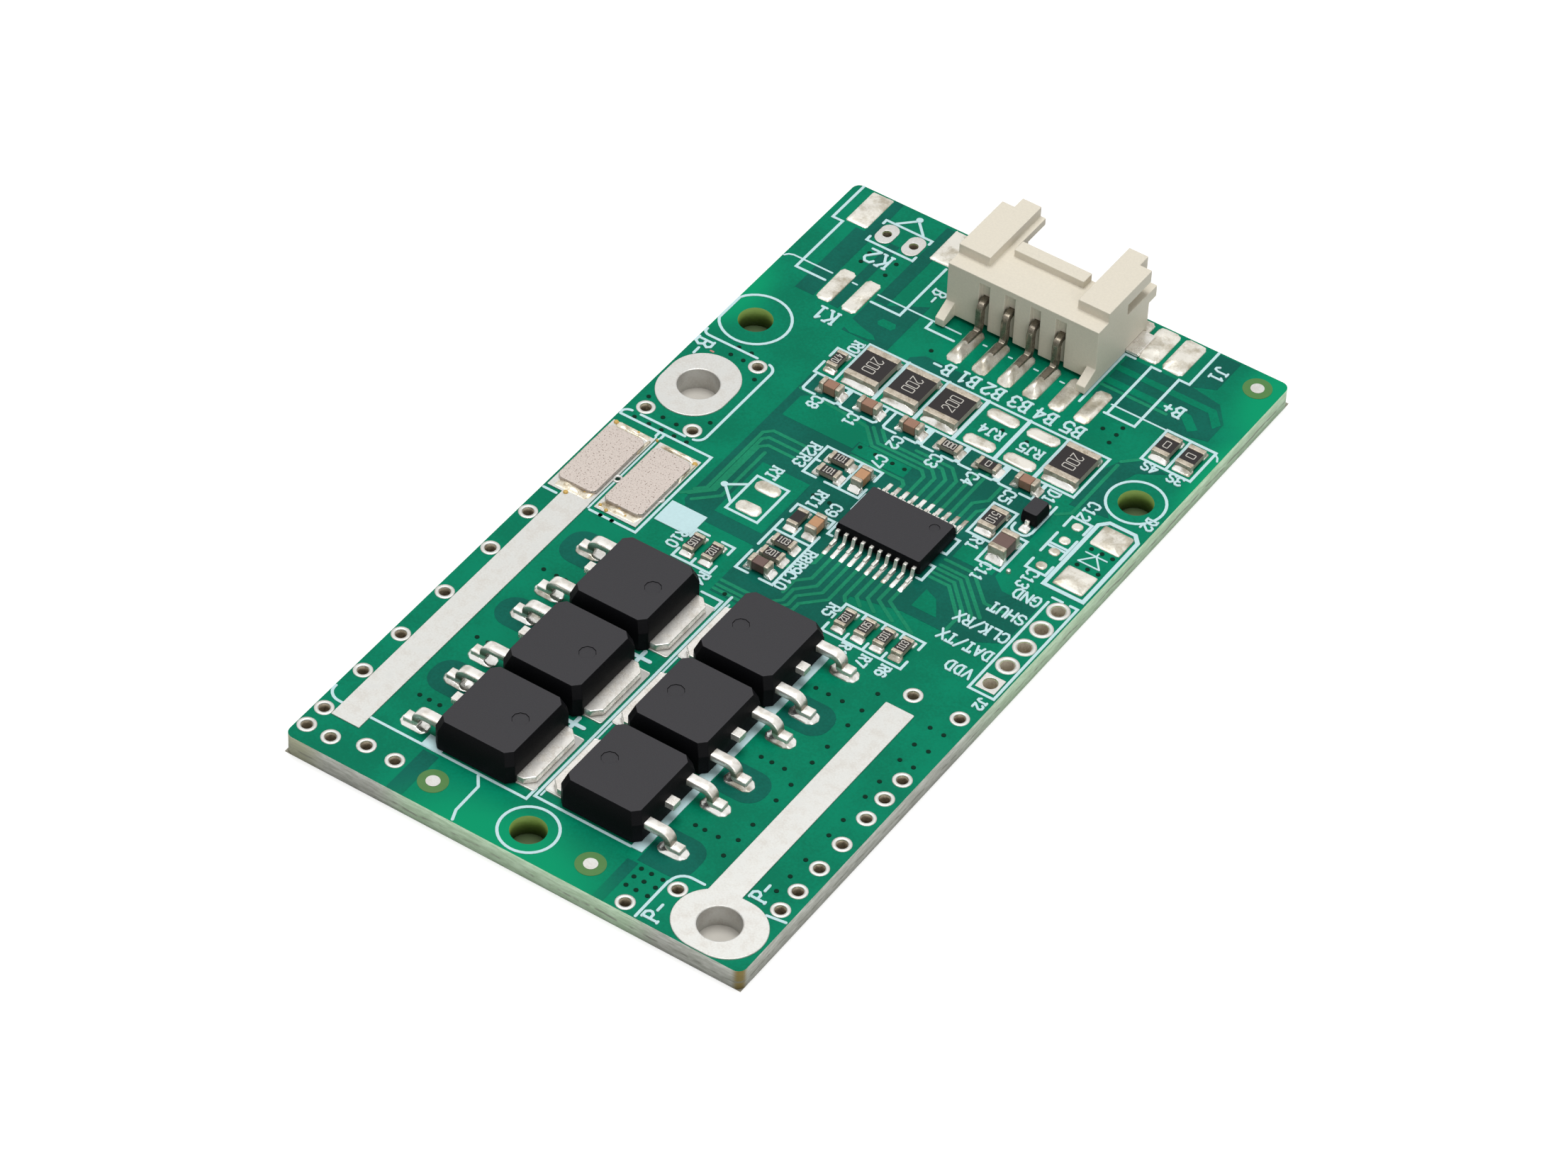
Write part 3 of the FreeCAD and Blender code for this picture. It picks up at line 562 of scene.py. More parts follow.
def easeSolids():
    for names, (width, steps, finish, slot) in easedNodes.items():
        back = chips["setBack"] if finish in ("resistorSide", "capacitor") else 0.0
        for nodeName in names.split():
            mesh = easedMesh(nodeName, width, steps, back)
            mesh.materials.append(paint[finish])
            for other in otherFinishes.get(finish, []):
                mesh.materials.append(paint[other])
            if finish in otherFinishes:
                for face in mesh.polygons:
                    face.material_index = otherFinish(finish, face)
            show("eased_" + nodeName, mesh, slot, nodeName)


def capEnds():                               # a block on each end of the large resistors
    work = bmesh.new()
    for low, high in islands("balance_resistor_ends"):
        size = high - low
        bmesh.ops.create_cube(work, size=1.0, matrix=Matrix.Translation((low + high) / 2 * mm)
                              @ Matrix.Diagonal((*(size * mm), 1.0)))
    bmesh.ops.bevel(work, geom=work.edges[:], offset=chips["capEase"] * mm, segments=2, profile=0.5,
                    affect="EDGES")
    mesh = keepWork(work, bpy.data.meshes.new("cap_ends"))
    evenNormals(mesh)
    mesh.materials.append(paint["chipEnd"])
    show("cap_ends", mesh, "end_metal", "balance_resistor_ends")


easeSolids()
capEnds()
print("solids eased:", sum(len(names.split()) for names in easedNodes))


# plated rings and the walls of the holes

def useTree(mesh, name, tree, inputs):       # runs a node tree on a mesh and gives back the plain result
    holder = linked(name, mesh)
    modifier = holder.modifiers.new(name, "NODES")
    modifier.node_group = tree
    for item in tree.interface.items_tree:
        if item.in_out == "INPUT" and item.name in inputs:
            modifier[item.identifier] = inputs[item.name]
    made = taken(holder)
    made.name = name
    return made


def newTree(name, *lengths):                 # a geometry tree: a mesh comes in, with lengths and a material
    inputs = [(label, "NodeSocketFloat") for label in lengths] + [("Material", "NodeSocketMaterial")]
    tree = bpy.data.node_groups.new(name, "GeometryNodeTree")
    tree.interface.new_socket("Geometry", in_out="INPUT", socket_type="NodeSocketGeometry")
    tree.interface.new_socket("Geometry", in_out="OUTPUT", socket_type="NodeSocketGeometry")
    for label, kind in inputs:
        tree.interface.new_socket(label, in_out="INPUT", socket_type=kind)
    nodes = Nodes(tree)
    start = nodes.put("NodeGroupInput")
    given = {label: Wire(nodes, start.socket.node.outputs[label])
             for label in ["Geometry"] + [label for label, kind in inputs]}
    return tree, nodes, given


def closeTree(nodes, given, shape):          # puts the shape on every point and gives it the material
    placed = nodes.put("GeometryNodeInstanceOnPoints", sockets={"Points": given["Geometry"], "Instance": shape})
    real = nodes.put("GeometryNodeRealizeInstances", sockets={"Geometry": placed})
    painted = nodes.put("GeometryNodeSetMaterial", sockets={"Geometry": real, "Material": given["Material"]})
    nodes.put("NodeGroupOutput", sockets={0: painted})


def sweptTree():                             # a rounded ring, low or tall, on every point
    tree, nodes, given = newTree("swept ring", "Radius", "Half width", "Half height", "Rise")
    path = nodes.put("GeometryNodeCurvePrimitiveCircle", sockets={"Resolution": 32, "Radius": given["Radius"]})
    path = nodes.put("GeometryNodeSetCurveNormal", {"mode": "Z_UP"}, {0: path})
    section = nodes.put("GeometryNodeCurvePrimitiveCircle", sockets={"Resolution": 10, "Radius": 1.0})
    size = nodes.put("ShaderNodeCombineXYZ", sockets={0: given["Half width"], 1: given["Half height"], 2: 1.0})
    section = nodes.put("GeometryNodeTransform", sockets={"Geometry": section, "Scale": size})
    made = nodes.put("GeometryNodeCurveToMesh", sockets={0: path, 1: section, "Fill Caps": False})
    rise = nodes.put("ShaderNodeCombineXYZ", sockets={0: 0.0, 1: 0.0, 2: given["Rise"]})
    made = nodes.put("GeometryNodeTransform", sockets={"Geometry": made, "Translation": rise})
    closeTree(nodes, given, made)
    return tree


sweptRings = sweptTree()


def pointMesh(name, points):
    mesh = bpy.data.meshes.new(name)
    mesh.from_pydata([Vector(point) * mm for point in points], [], [])
    return mesh


def middles(boxes, z):
    return [((low.x + high.x) / 2, (low.y + high.y) / 2, z) for low, high in boxes]


def stadium(low, high, steps=14):            # an oblong with round ends along its longer side
    return roundedBox(low, high, min(high[0] - low[0], high[1] - low[1]) / 2 - 0.001, steps)


def easedPlate(name, outlines, low, high, ease):
    mesh = flatCurve(name, outlines, low, high)
    work = workOn(mesh)
    rims = [edge for edge in work.edges
            if edge.is_manifold and edge.calc_face_angle(0.0) > math.radians(easing["sharpPlate"])
            and all(vertex.co.z > (low + high) / 2 * mm for vertex in edge.verts)]
    bmesh.ops.bevel(work, geom=rims, offset=ease * mm, segments=2, profile=0.5, affect="EDGES")
    keepWork(work, mesh)
    evenNormals(mesh)
    return mesh


def mergedMesh(name, parts):                 # meshes of one piece, each with its own finish
    work = bmesh.new()
    for number, (mesh, finish) in enumerate(parts):
        for face in mesh.polygons:
            face.material_index = number
        work.from_mesh(mesh)
    made = keepWork(work, bpy.data.meshes.new(name))
    for mesh, finish in parts:
        made.materials.append(paint[finish])
    return made


barrelSizes = {"wall": 0.04, "half": 0.8}    # wall and half the height of a hole's plating
ringSizes = {                                # outer and inner radius, height and the barrel's radius
    "small": (0.66, 0.38, 0.05, 0.36), "header": (0.8, 0.5, 0.06, 0.46)}
hiddenSizes = (0.27, 0.11, 0.12)             # radius, half the width and height
header = {"pad": 0.725, "corner": 0.04, "hole": 0.5, "rise": 0.06, "ease": 0.03}     # the square land
probe = {"hole": 0.325, "barrel": 0.285, "rise": 0.07, "ease": 0.03}
hiddenRings = [(-13.62, -1.3), (-10.36, -1.25)]     # their other half lies under the inner weld land


def rings(name, spots, radius, halfWidth, halfHeight, rise, finish):
    return useTree(pointMesh(name, spots), name, sweptRings, {
        "Radius": radius * mm, "Half width": halfWidth * mm, "Half height": halfHeight * mm,
        "Rise": rise * mm, "Material": paint[finish]})


def topRings(spots, outer, inner, height):
    return rings("ring", spots, (outer + inner) / 2, (outer - inner) / 2, height, 0.0, "tin")


def barrels(spots, radius):                  # the plated walls of holes, as tall rings
    wall, half = barrelSizes["wall"], barrelSizes["half"]
    return rings("barrel", spots, radius + wall / 2, wall / 2, half, -half, "barrel")


def addRings():
    top = board["top"]
    *ringShape, inside = ringSizes["small"]
    spots = middles(smallRings, top)
    # painted shade: the small barrels get the darker barrel finish
    mesh = mergedMesh("ring_small", [(topRings(spots, *ringShape), "tin"), (barrels(spots, inside), "barrel")])
    mesh.shade_smooth()
    show("ring_small", mesh, "tinned_copper", "small_hole_rings")
    spots = [(x, y, top) for x, y in hiddenRings]
    show("ring_hidden", rings("ring_hidden", spots, *hiddenSizes, 0.0, "tin"), "tinned_copper")

    *ringShape, inside = ringSizes["header"]
    spots = sorted(middles(headerRings, top), key=lambda spot: spot[1])
    x, y, z = spots[0]
    pad = header["pad"]
    square = easedPlate("pad", [roundedBox((x - pad, y - pad), (x + pad, y + pad), header["corner"], 2),
                                circle(x, y, header["hole"], 32)], top, top + header["rise"], header["ease"])
    mesh = mergedMesh("ring_header", [(topRings(spots[1:], *ringShape), "tin"), (square, "tin"),
                                      (barrels(spots, inside), "barrelWide")])
    soften(mesh, 50)
    show("ring_header", mesh, "tinned_copper", "header_hole_sleeves")

    parts = []
    for (low, high), (x, y, z) in zip(probeRings, middles(probeRings, top)):
        land = [stadium((low.x, low.y), (high.x, high.y)), circle(x, y, probe["hole"], 28)]
        parts.append((easedPlate("land", land, top, top + probe["rise"], probe["ease"]), "tin"))
    # painted shade: these barrels get the darker barrel finish
    parts.append((barrels(middles(probeRings, top), probe["barrel"]), "barrel"))
    mesh = mergedMesh("lands_probe", parts)
    soften(mesh, 50)
    show("lands_probe", mesh, "tinned_copper", "probe_hole_sleeves")


addRings()
print("rings made")


# terminals, and the bus strip on the right with its straight edges

terminals = {
    "terminal_cell": {"land": ((-17.05, 6.05), (-11.95, 12.35)), "hole": terminalHoles[0],
                      "node": "cell_terminal"},
    "terminal_pack": {"land": ((10.75, -32.2), (17.05, -27.1)), "hole": terminalHoles[1],
                      "node": "pack_terminal"}}
terminalSizes = {"wall": 0.045, "gap": 0.01, "ease": 0.05, "sunk": 0.04, "wallSteps": 48, "landSteps": 96}
rightStrip = {"left": 11.675, "right": 13.825, "front": -28.2, "corner": 0.1, "sunk": 0.004, "ease": 0.04}


def holedLand(name, land, middle, radius, low, high, ease):     # an oblong land round a hole
    steps = terminalSizes["landSteps"]
    (left, front), (right, rear) = land
    half = min(right - left, rear - front) / 2
    reachX = (right - left) / 2 - half
    reachY = (rear - front) / 2 - half
    points = []
    for step in range(steps):
        turn = 2 * math.pi * step / steps
        aim = Vector((math.cos(turn), math.sin(turn)))
        near, far = 0.0, half + reachX + reachY
        for halving in range(40):            # how far the land reaches in this direction
            reach = (near + far) / 2
            spot = aim * reach
            beyond = math.hypot(max(abs(spot.x) - reachX, 0), max(abs(spot.y) - reachY, 0)) > half
            near, far = (near, reach) if beyond else (reach, far)
        slight = 0.3 * ease
        for away, z in ((reach, low), (reach, high - ease), (reach - slight, high - slight),
                        (reach - ease, high), (radius + ease, high), (radius + slight, high - slight),
                        (radius, high - ease), (radius, low)):
            points.append(Vector((middle[0] + aim.x * away, middle[1] + aim.y * away, z)) * mm)
    faces = [tuple(8 * (at % steps) + level % 8 for at, level in
                   ((step, side), (step + 1, side), (step + 1, side + 1), (step, side + 1)))
             for step in range(steps) for side in range(8)]
    mesh = bpy.data.meshes.new(name)
    mesh.from_pydata(points, [], faces)
    return mesh


def addTerminals():
    for name, parts in terminals.items():
        x, y, radius = parts["hole"]
        land = holedLand(name, parts["land"], (x, y), radius + terminalSizes["gap"], board["top"],
                         board["land"], terminalSizes["ease"])
        wall = flatCurve(name, [circle(x, y, away, terminalSizes["wallSteps"])
                                for away in (radius + terminalSizes["wall"], radius)],
                         0.0, board["land"] - terminalSizes["sunk"])
        mesh = mergedMesh(name, [(land, "tin"), (wall, "tin")])
        soften(mesh, 20)
        show(name, mesh, "tinned_copper", parts["node"])
    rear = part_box("pack_terminal")[1].y / mm
    outline = roundedBox((rightStrip["left"], rightStrip["front"]), (rightStrip["right"], rear),
                         rightStrip["corner"], 3)
    strip = easedPlate("strip_right", [outline], board["top"], board["land"] - rightStrip["sunk"],
                       rightStrip["ease"])
    strip.materials.append(paint["tin"])
    show("strip_right", strip, "tinned_copper")


addTerminals()
print("terminals made")


# bare lands: a coat of solder, thick where a lead or a chip end stands in it

def smoothStep(value, low, high):
    part = min(max((value - low) / (high - low), 0.0), 1.0)
    return part * part * (3 - 2 * part)


pools = {"skirt": 0.02, "spread": 1.6, "fall": 5, "slip": 0.03}      # rim height, ring spread, roundness, waves


class Heap:                                  # gathers loose shapes of one finish into one mesh
    def __init__(self):
        self.points = []
        self.faces = []

    def wall(self, inner, outer, count):     # between two rings of points
        for step in range(count):
            after = (step + 1) % count
            self.faces.append((inner + step, outer + step, outer + after, inner + after))

    def lid(self, first, count):
        self.faces.append(tuple(range(first, first + count)))

    def floor(self, first, count):           # a lid that looks down
        self.faces.append(tuple(reversed(range(first, first + count))))

    def pool(self, low, high, corner, rise, seed, steps, rings):
        # a land's coat: rise(x, y) is its height in the middle, falling off at the rim
        base = board["top"]
        chance = random.Random(seed)
        phase = [chance.uniform(0, 2 * math.pi) for wave in range(3)]
        middle = ((low[0] + high[0]) / 2, (low[1] + high[1]) / 2)
        rim = roundedBox(low, high, corner, max(1, steps // 4 - 1))
        steps = len(rim)
        first = len(self.points)
        self.points.append((middle[0], middle[1], base + rise(*middle)))
        for ring in range(1, rings + 1):
            part = 1 - (1 - ring / rings) ** pools["spread"]
            edge = math.sqrt(max(0.0, 1 - part ** pools["fall"]))
            for step, (x, y) in enumerate(rim):
                turn = 2 * math.pi * step / steps
                wave = math.sin(3 * turn + phase[0]) * math.sin(5 * turn + phase[1])
                slip = 1 - pools["slip"] * part * (1 + wave)
                x = middle[0] + (x - middle[0]) * part * slip
                y = middle[1] + (y - middle[1]) * part * slip
                self.points.append((x, y, base + pools["skirt"] + (rise(x, y) - pools["skirt"]) * edge))
        for step in range(steps):
            after = (step + 1) % steps
            self.faces.append((first, first + 1 + step, first + 1 + after))
            for ring in range(rings - 1):
                inner = first + 1 + ring * steps
                outer = inner + steps
                self.faces.append((inner + step, outer + step, outer + after, inner + after))
        last = first + 1 + (rings - 1) * steps
        under = len(self.points)
        self.points += [(x, y, base) for x, y, z in self.points[last:last + steps]]
        self.wall(last, under, steps)
        self.floor(under, steps)

    def prism(self, outline, low, high):     # an outline, counter-clockwise, given a thickness
        first = len(self.points)
        count = len(outline)
        self.points += [(x, y, low) for x, y in outline] + [(x, y, high) for x, y in outline]
        self.floor(first, count)
        self.lid(first + count, count)
        for step in range(count):
            after = (step + 1) % count
            self.faces.append((first + step, first + after, first + count + after, first + count + step))

    def ribbon(self, path, half, low, high): # a flat line of even width with round ends
        closed = len(path) > 3 and math.dist(path[0], path[-1]) < 1e-6
        spots = [Vector(spot) for spot in (path[:-1] if closed else path)]
        count = len(spots)
        sides = []
        for place, spot in enumerate(spots):
            came = spot - spots[place - 1] if closed or place > 0 else None
            goes = spots[(place + 1) % count] - spot if closed or place < count - 1 else None
            came = (came or goes).normalized()
            goes = (goes or came).normalized()
            across = Vector((-came.y - goes.y, came.x + goes.x)).normalized()
            sides.append(across * (half / max(0.5, across.dot(Vector((-goes.y, goes.x))))))
        first = len(self.points)
        for spot, side in zip(spots, sides):
            for corner in (spot + side, spot - side):
                self.points += [(corner.x, corner.y, low), (corner.x, corner.y, high)]
        for place in range(count if closed else count - 1):
            here = first + 4 * place
            then = first + 4 * ((place + 1) % count)
            self.faces += [(here + 1, here + 3, then + 3, then + 1), (here, then, then + 2, here + 2),
                           (here, here + 1, then + 1, then), (here + 2, then + 2, then + 3, here + 3)]
        if closed:
            return
        for place, outward in ((0, spots[0] - spots[1]), (count - 1, spots[-1] - spots[-2])):
            spot = spots[place]
            away = outward.normalized() * half
            across = Vector((away.y, -away.x))
            here = first + 4 * place
            rim = [spot + across * math.cos(turn) + away * math.sin(turn)
                   for turn in (math.pi / 4, math.pi / 2, 3 * math.pi / 4)]
            added = len(self.points)
            for corner in rim:
                self.points += [(corner.x, corner.y, low), (corner.x, corner.y, high)]
            start, stop = (here + 2, here) if place else (here, here + 2)
            ring = [start] + [added + 2 * step for step in range(3)] + [stop]
            self.faces.append(tuple(corner + 1 for corner in ring))
            self.faces.append(tuple(reversed(ring)))
            for left, right in zip(ring, ring[1:]):
                self.faces.append((left, right, right + 1, left + 1))

    def bar(self, path, place, turn, wide, thick, ease):     # a rounded bar bent along x and z, from place on
        first = len(self.points)
        ring = 12                            # points round the bar, three at each corner
        spots = [Vector(spot) for spot in path]
        for number, spot in enumerate(spots):
            before = spots[max(number - 1, 0)]
            after = spots[min(number + 1, len(spots) - 1)]
            along = (after - before).normalized()
            slim = ease if number == 0 else 0.0
            for across, over in roundedBox((-wide / 2 + slim, -thick / 2 + slim),
                                           (wide / 2 - slim, thick / 2 - slim), ease, 2):
                self.points.append((place[0] + turn * (spot.x - along.y * over), place[1] + turn * across,
                                    place[2] + spot.y + along.x * over))
        last = first + ring * (len(spots) - 1)
        for here in range(first, last, ring):
            self.wall(here, here + ring, ring)
        self.lid(first, ring)
        self.floor(last, ring)

    def show(self, name, finish, slot, *replaced, smooth=True):
        made = bpy.data.meshes.new(name)
        made.from_pydata([Vector(point) * mm for point in self.points], [], self.faces)
        if smooth:
            soften(made, 50)
        made.materials.append(paint[finish])
        return show(name, made, slot, *replaced)


solder = {
    "lumps": 0.035, "lumpCoat": 0.13, "lumpWaves": (1.6, 3.2), "lumpPhase": (0, 6.3), "wet": 0.6,
    "thinLand": 0.45, "tabLand": 3, "chipCorner": 0.25, "tabCorner": 0.15, "tabEase": 0.04,
    "transistorCorner": 0.6, "spareCorner": 0.15, "spareShare": (0.3, 0.46), "largeSpare": 1.6,
    "connectorCorner": 0.4}
coats = {                                    # height, share of a foot's height, reach, steps, rings
    "thin": (0.09, 0.5, 0.1, 12, 3), "chip": (0.10, 0.5, 0.16, 24, 6), "empty": (0.13, 0.5, 0.16, 24, 6),
    "transistor": (0.12, 0.45, 0.3, 52, 10), "spare": (0.13, 0, 1, 36, 8), "connector": (0.16, 0, 1, 36, 9)}
feetSizes = {"long": 0.95, "top": 2.2, "controllerLong": 0.6, "controllerTop": 1.85, "controllerRear": 6}
mound = {                                    # solder over a contact's foot, along y from the land's front
    "start": 0.7, "fall": (1.2, 2.2), "loss": 0.35, "low": 0.12, "tall": 0.62, "wide": 0.42}


def distance(x, y, box):
    low, high = box
    return math.hypot(max(low.x - x, x - high.x, 0.0), max(low.y - y, y - high.y, 0.0))


def wetRise(feet, coat, share, reach, seed): # gives back the height of a coat with lumps and wetted feet
    chance = random.Random(seed)
    ranges = (solder["lumpWaves"], solder["lumpPhase"]) * 2
    lumps = [[chance.uniform(*span) for span in ranges] for lump in range(2)]

    def rise(x, y):
        height = coat
        for box in feet:
            tall = (box[1].z - board["land"]) * share
            height = max(height, coat * solder["wet"] + tall * math.exp(-distance(x, y, box) / reach))
        for fx, px, fy, py in lumps:
            height += (solder["lumps"] * coat / solder["lumpCoat"]
                       * math.sin(fx * x + px) * math.sin(fy * y + py))
        return height
    return rise


def contactRise(low, high):                  # solder that wets the foot of a connector's contact
    middle = (low.x + high.x) / 2

    def rise(x, y):
        fall = smoothStep(y, *(low.y + away for away in mound["fall"]))
        along = smoothStep(y, low.y, low.y + mound["start"]) * (1 - mound["loss"] * fall)
        return mound["low"] + mound["tall"] * along * math.exp(-((x - middle) / mound["wide"]) ** 2)
    return rise


def feetOn(box, feet):                       # the lead feet or chip ends that stand on a land
    low, high = box
    return [foot for foot in feet
            if foot[0].x < high.x and foot[1].x > low.x and foot[0].y < high.y and foot[1].y > low.y]


def transistorFeet():                        # boxes round the feet alone; they point away from the middle
    feet = []
    base, top, long = board["land"], feetSizes["top"], feetSizes["long"]
    for node in ("transistor_gate_leads", "transistor_source_leads"):
        for low, high in islands(node):
            left = low.x if low.x < 0 else high.x - long
            right = low.x + long if low.x < 0 else high.x
            feet.append((Vector((left, low.y, base)), Vector((right, high.y, top))))
    return feet


def controllerFeet():
    feet = []
    base, top, long = board["land"], feetSizes["controllerTop"], feetSizes["controllerLong"]
    for low, high in islands("controller_leads"):
        rearRow = high.y > feetSizes["controllerRear"]
        front = high.y - long if rearRow else low.y
        rear = high.y if rearRow else low.y + long
        feet.append((Vector((low.x, front, base)), Vector((high.x, rear, top))))
    return feet


leads = {"wide": 0.76, "thick": 0.5, "level": 1.2, "bend": 0.55, "ease": 0.07, "steps": 9,
         "tip": [(0.0, 0.25), (0.05, 0.25), (0.4, 0.25)], "foot": 0.68, "heel": 0.27, "inside": [2.2, 2.9]}


def addLeads():                              # from the tip of the foot up to the body
    level, bend, steps, foot, heel = (leads[key] for key in ("level", "bend", "steps", "foot", "heel"))
    quarter = [math.pi / 2 * step / steps for step in range(steps + 1)]
    path = list(leads["tip"])
    path += [(foot + heel * math.sin(turn), leads["thick"] / 2 + heel - heel * math.cos(turn))
             for turn in quarter[::3]]
    path += [(foot + heel + bend - bend * math.cos(turn), level - bend + bend * math.sin(turn))
             for turn in quarter]
    path += [(x, level) for x in leads["inside"]]
    for node in ("transistor_gate_leads", "transistor_source_leads"):
        heap = Heap()
        for low, high in islands(node):
            tip = low.x if low.x < 0 else high.x
            heap.bar(path, (tip, (low.y + high.y) / 2, board["land"]), 1 if low.x < 0 else -1,
                     leads["wide"], leads["thick"], leads["ease"])
        heap.show("bent_" + node, "formedLead", "lead_metal", node)


addLeads()
print("leads made")


def addCoat(heap, kind, box, corner, feet, seed, apart=0):
    coat, share, reach, steps, rings = coats[kind]
    heap.pool(*box, corner, wetRise(feet, coat, share, reach, seed + apart), seed, steps, rings)


def addSolder():
    chipEnds = (islands("chip_resistor_ends") + islands("chip_capacitor_ends")
                + islands("balance_resistor_ends") + controllerFeet() + islands("diode_leads"))
    heap = Heap()
    for number, (low, high) in enumerate(islands("chip_lands")):
        feet = feetOn((low, high), chipEnds)
        narrow = min(high.x - low.x, high.y - low.y)
        kind = "thin" if narrow < solder["thinLand"] else "chip" if feet else "empty"
        addCoat(heap, kind, (low, high), narrow * solder["chipCorner"], feet, number)
    heap.show("solder_chips", "solder", "end_metal", "chip_lands")

    heap = Heap()
    flat = []
    feet = transistorFeet()
    for number, box in enumerate(islands("transistor_lands")):
        low, high = box
        if high.y - low.y > solder["tabLand"]:       # the land of a drain tab stays bare and flat
            outline = roundedBox(low, high, solder["tabCorner"], 3)
            land = easedPlate("land", [outline], board["top"], board["land"], solder["tabEase"])
            flat.append((land, "tin"))
        else:
            addCoat(heap, "transistor", box, solder["transistorCorner"], feetOn(box, feet), number)
    heap.show("solder_transistors", "solder", "tinned_copper", "transistor_lands")
    mesh = mergedMesh("lands_drain", flat)
    soften(mesh, 20)
    show("lands_drain", mesh, "tinned_copper")

    heap = Heap()
    for number, (low, high) in enumerate(islands("spare_lands")):
        wide, long = high.x - low.x, high.y - low.y
        corner = min(wide, long) * solder["spareShare"][wide > long]
        if min(wide, long) > solder["largeSpare"]:
            corner = solder["spareCorner"]
        addCoat(heap, "spare", (low, high), corner, [], number, 40)
    heap.show("solder_spare", "coat", "tinned_copper", "spare_lands")

    heap = Heap()
    for number, (low, high) in enumerate(islands("connector_lands")):
        if high.y < 30 and high.x < 5:       # a contact's foot lies in this one
            heap.pool(low, high, solder["connectorCorner"], contactRise(low, high), number,
                      *coats["connector"][3:])
        else:
            addCoat(heap, "connector", (low, high), solder["connectorCorner"], [], number, 80)
    heap.show("solder_connector", "coat", "tinned_copper", "connector_lands")


addSolder()
print("solder made")


# copper under the mask: bare glass between the pours, with painted shadow beside the connector, traces and
# small vias

glassAndShadowPatches = drawn(
    "-9.4,-28.3 -8.2,-28.3 -8.2,-32.2 -9.4,-32.2 | 6.2,-28.4 7,-28.4 7,-32.2 6.2,-32.2 | "
    "-14.8,21 -13.3,21 -13.3,28.4 -13.4,32.2 -14.1,32.2 -14.1,28.4 -14.8,28.4 | "
    "-12,20.9 -11.25,20.9 -11.25,28.4 -12,28.4 | -9.75,23 -8.75,23 -8.75,32 -9.75,32 | "
    "-9.9,19.3 -6.3,19.3 -6.3,24.6 -7.4,23.9 -8.75,23 -9.9,22.6 | "
    "-4.7,19.3 0,19.3 0,20.4 -3.9,20.4 -4.7,19.7 | "
    # painted shadow: this patch's left end, from x 7 to about 8.6, is the connector's shadow
    "7,23.8 13.6,23.8 15.6,24.4 15.6,26.4 14.4,27.9 12,28.3 13.5,29 13.5,32.1 11.9,32.1 11.9,28.3 7,28.3 | "
    "11.4,14 14.2,14.4 13.2,15.6 12.8,17.2 13.4,19 15.2,20.2 12.7,20.3 11.9,19.3 11.4,18 | "
    "-9.1,14.6 -9.1,-0.2 -8.3,-1.2 -3,-1.2 -3,-6.2 4.6,-6.2 4.6,-1.4 8,-0.6 12.6,-0.6 14.9,0.8 14.9,4.7 "
    "12.2,4.7 11.1,5.6 11.1,12.6 9.4,14.6")
tongues = [                                  # round-ended areas round the gate leads: x span, y span, side
    (-13.15, -10.2, -9.4, -6.3, -1), (-13.15, -10.2, -16.5, -13.75, -1), (-13.15, -10.2, -23.7, -20.7, -1),
    (6.75, 10.15, -13.35, -10.4, 1), (6.75, 10.15, -20.5, -17.6, 1), (6.75, 10.15, -28.2, -24.7, 1)]
pourIslands = drawn(                         # patches of copper inside the bare areas
    "-8.45,10.1 -8.45,12.3 -7.9,12.75 -3.6,12.75 -2.2,11.3 -2.2,10.87 -2.9,10.87 -2.9,10.1 | "
    "-6.9,0 -3.2,0 -3.2,5.6 -6.9,5.6 | 8.2,0.2 10.1,0.2 9.2,1.6 8.2,2 | 7.9,5.5 10.9,5.5 10.9,7.3 7.9,7.3 | "
    "-2.8,9.75 1.3,9.75 1.3,10.85 -2.8,10.85 | 7,25.3 13,25.3 14,24.4 14.5,24.9 13.4,25.9 7,25.9 | "
    "7,26.75 14.2,26.75 15.2,25.6 15.5,26.2 14.5,27.3 7,27.3 | "
    "-8.2,21.1 -7.2,21.1 -7,21.4 -7.2,21.8 -8.2,21.8 -8.4,21.4 | "
    "-9.9,20.6 -9,20.3 -7.8,20 -7.5,19.7 -7.9,19.5 -9.3,19.35 -9.9,19.6")
copper = {"step": 0.010, "sunk": 0.01, "tongueRadius": 1.3, "tongueSteps": 6}      # step from layer to layer
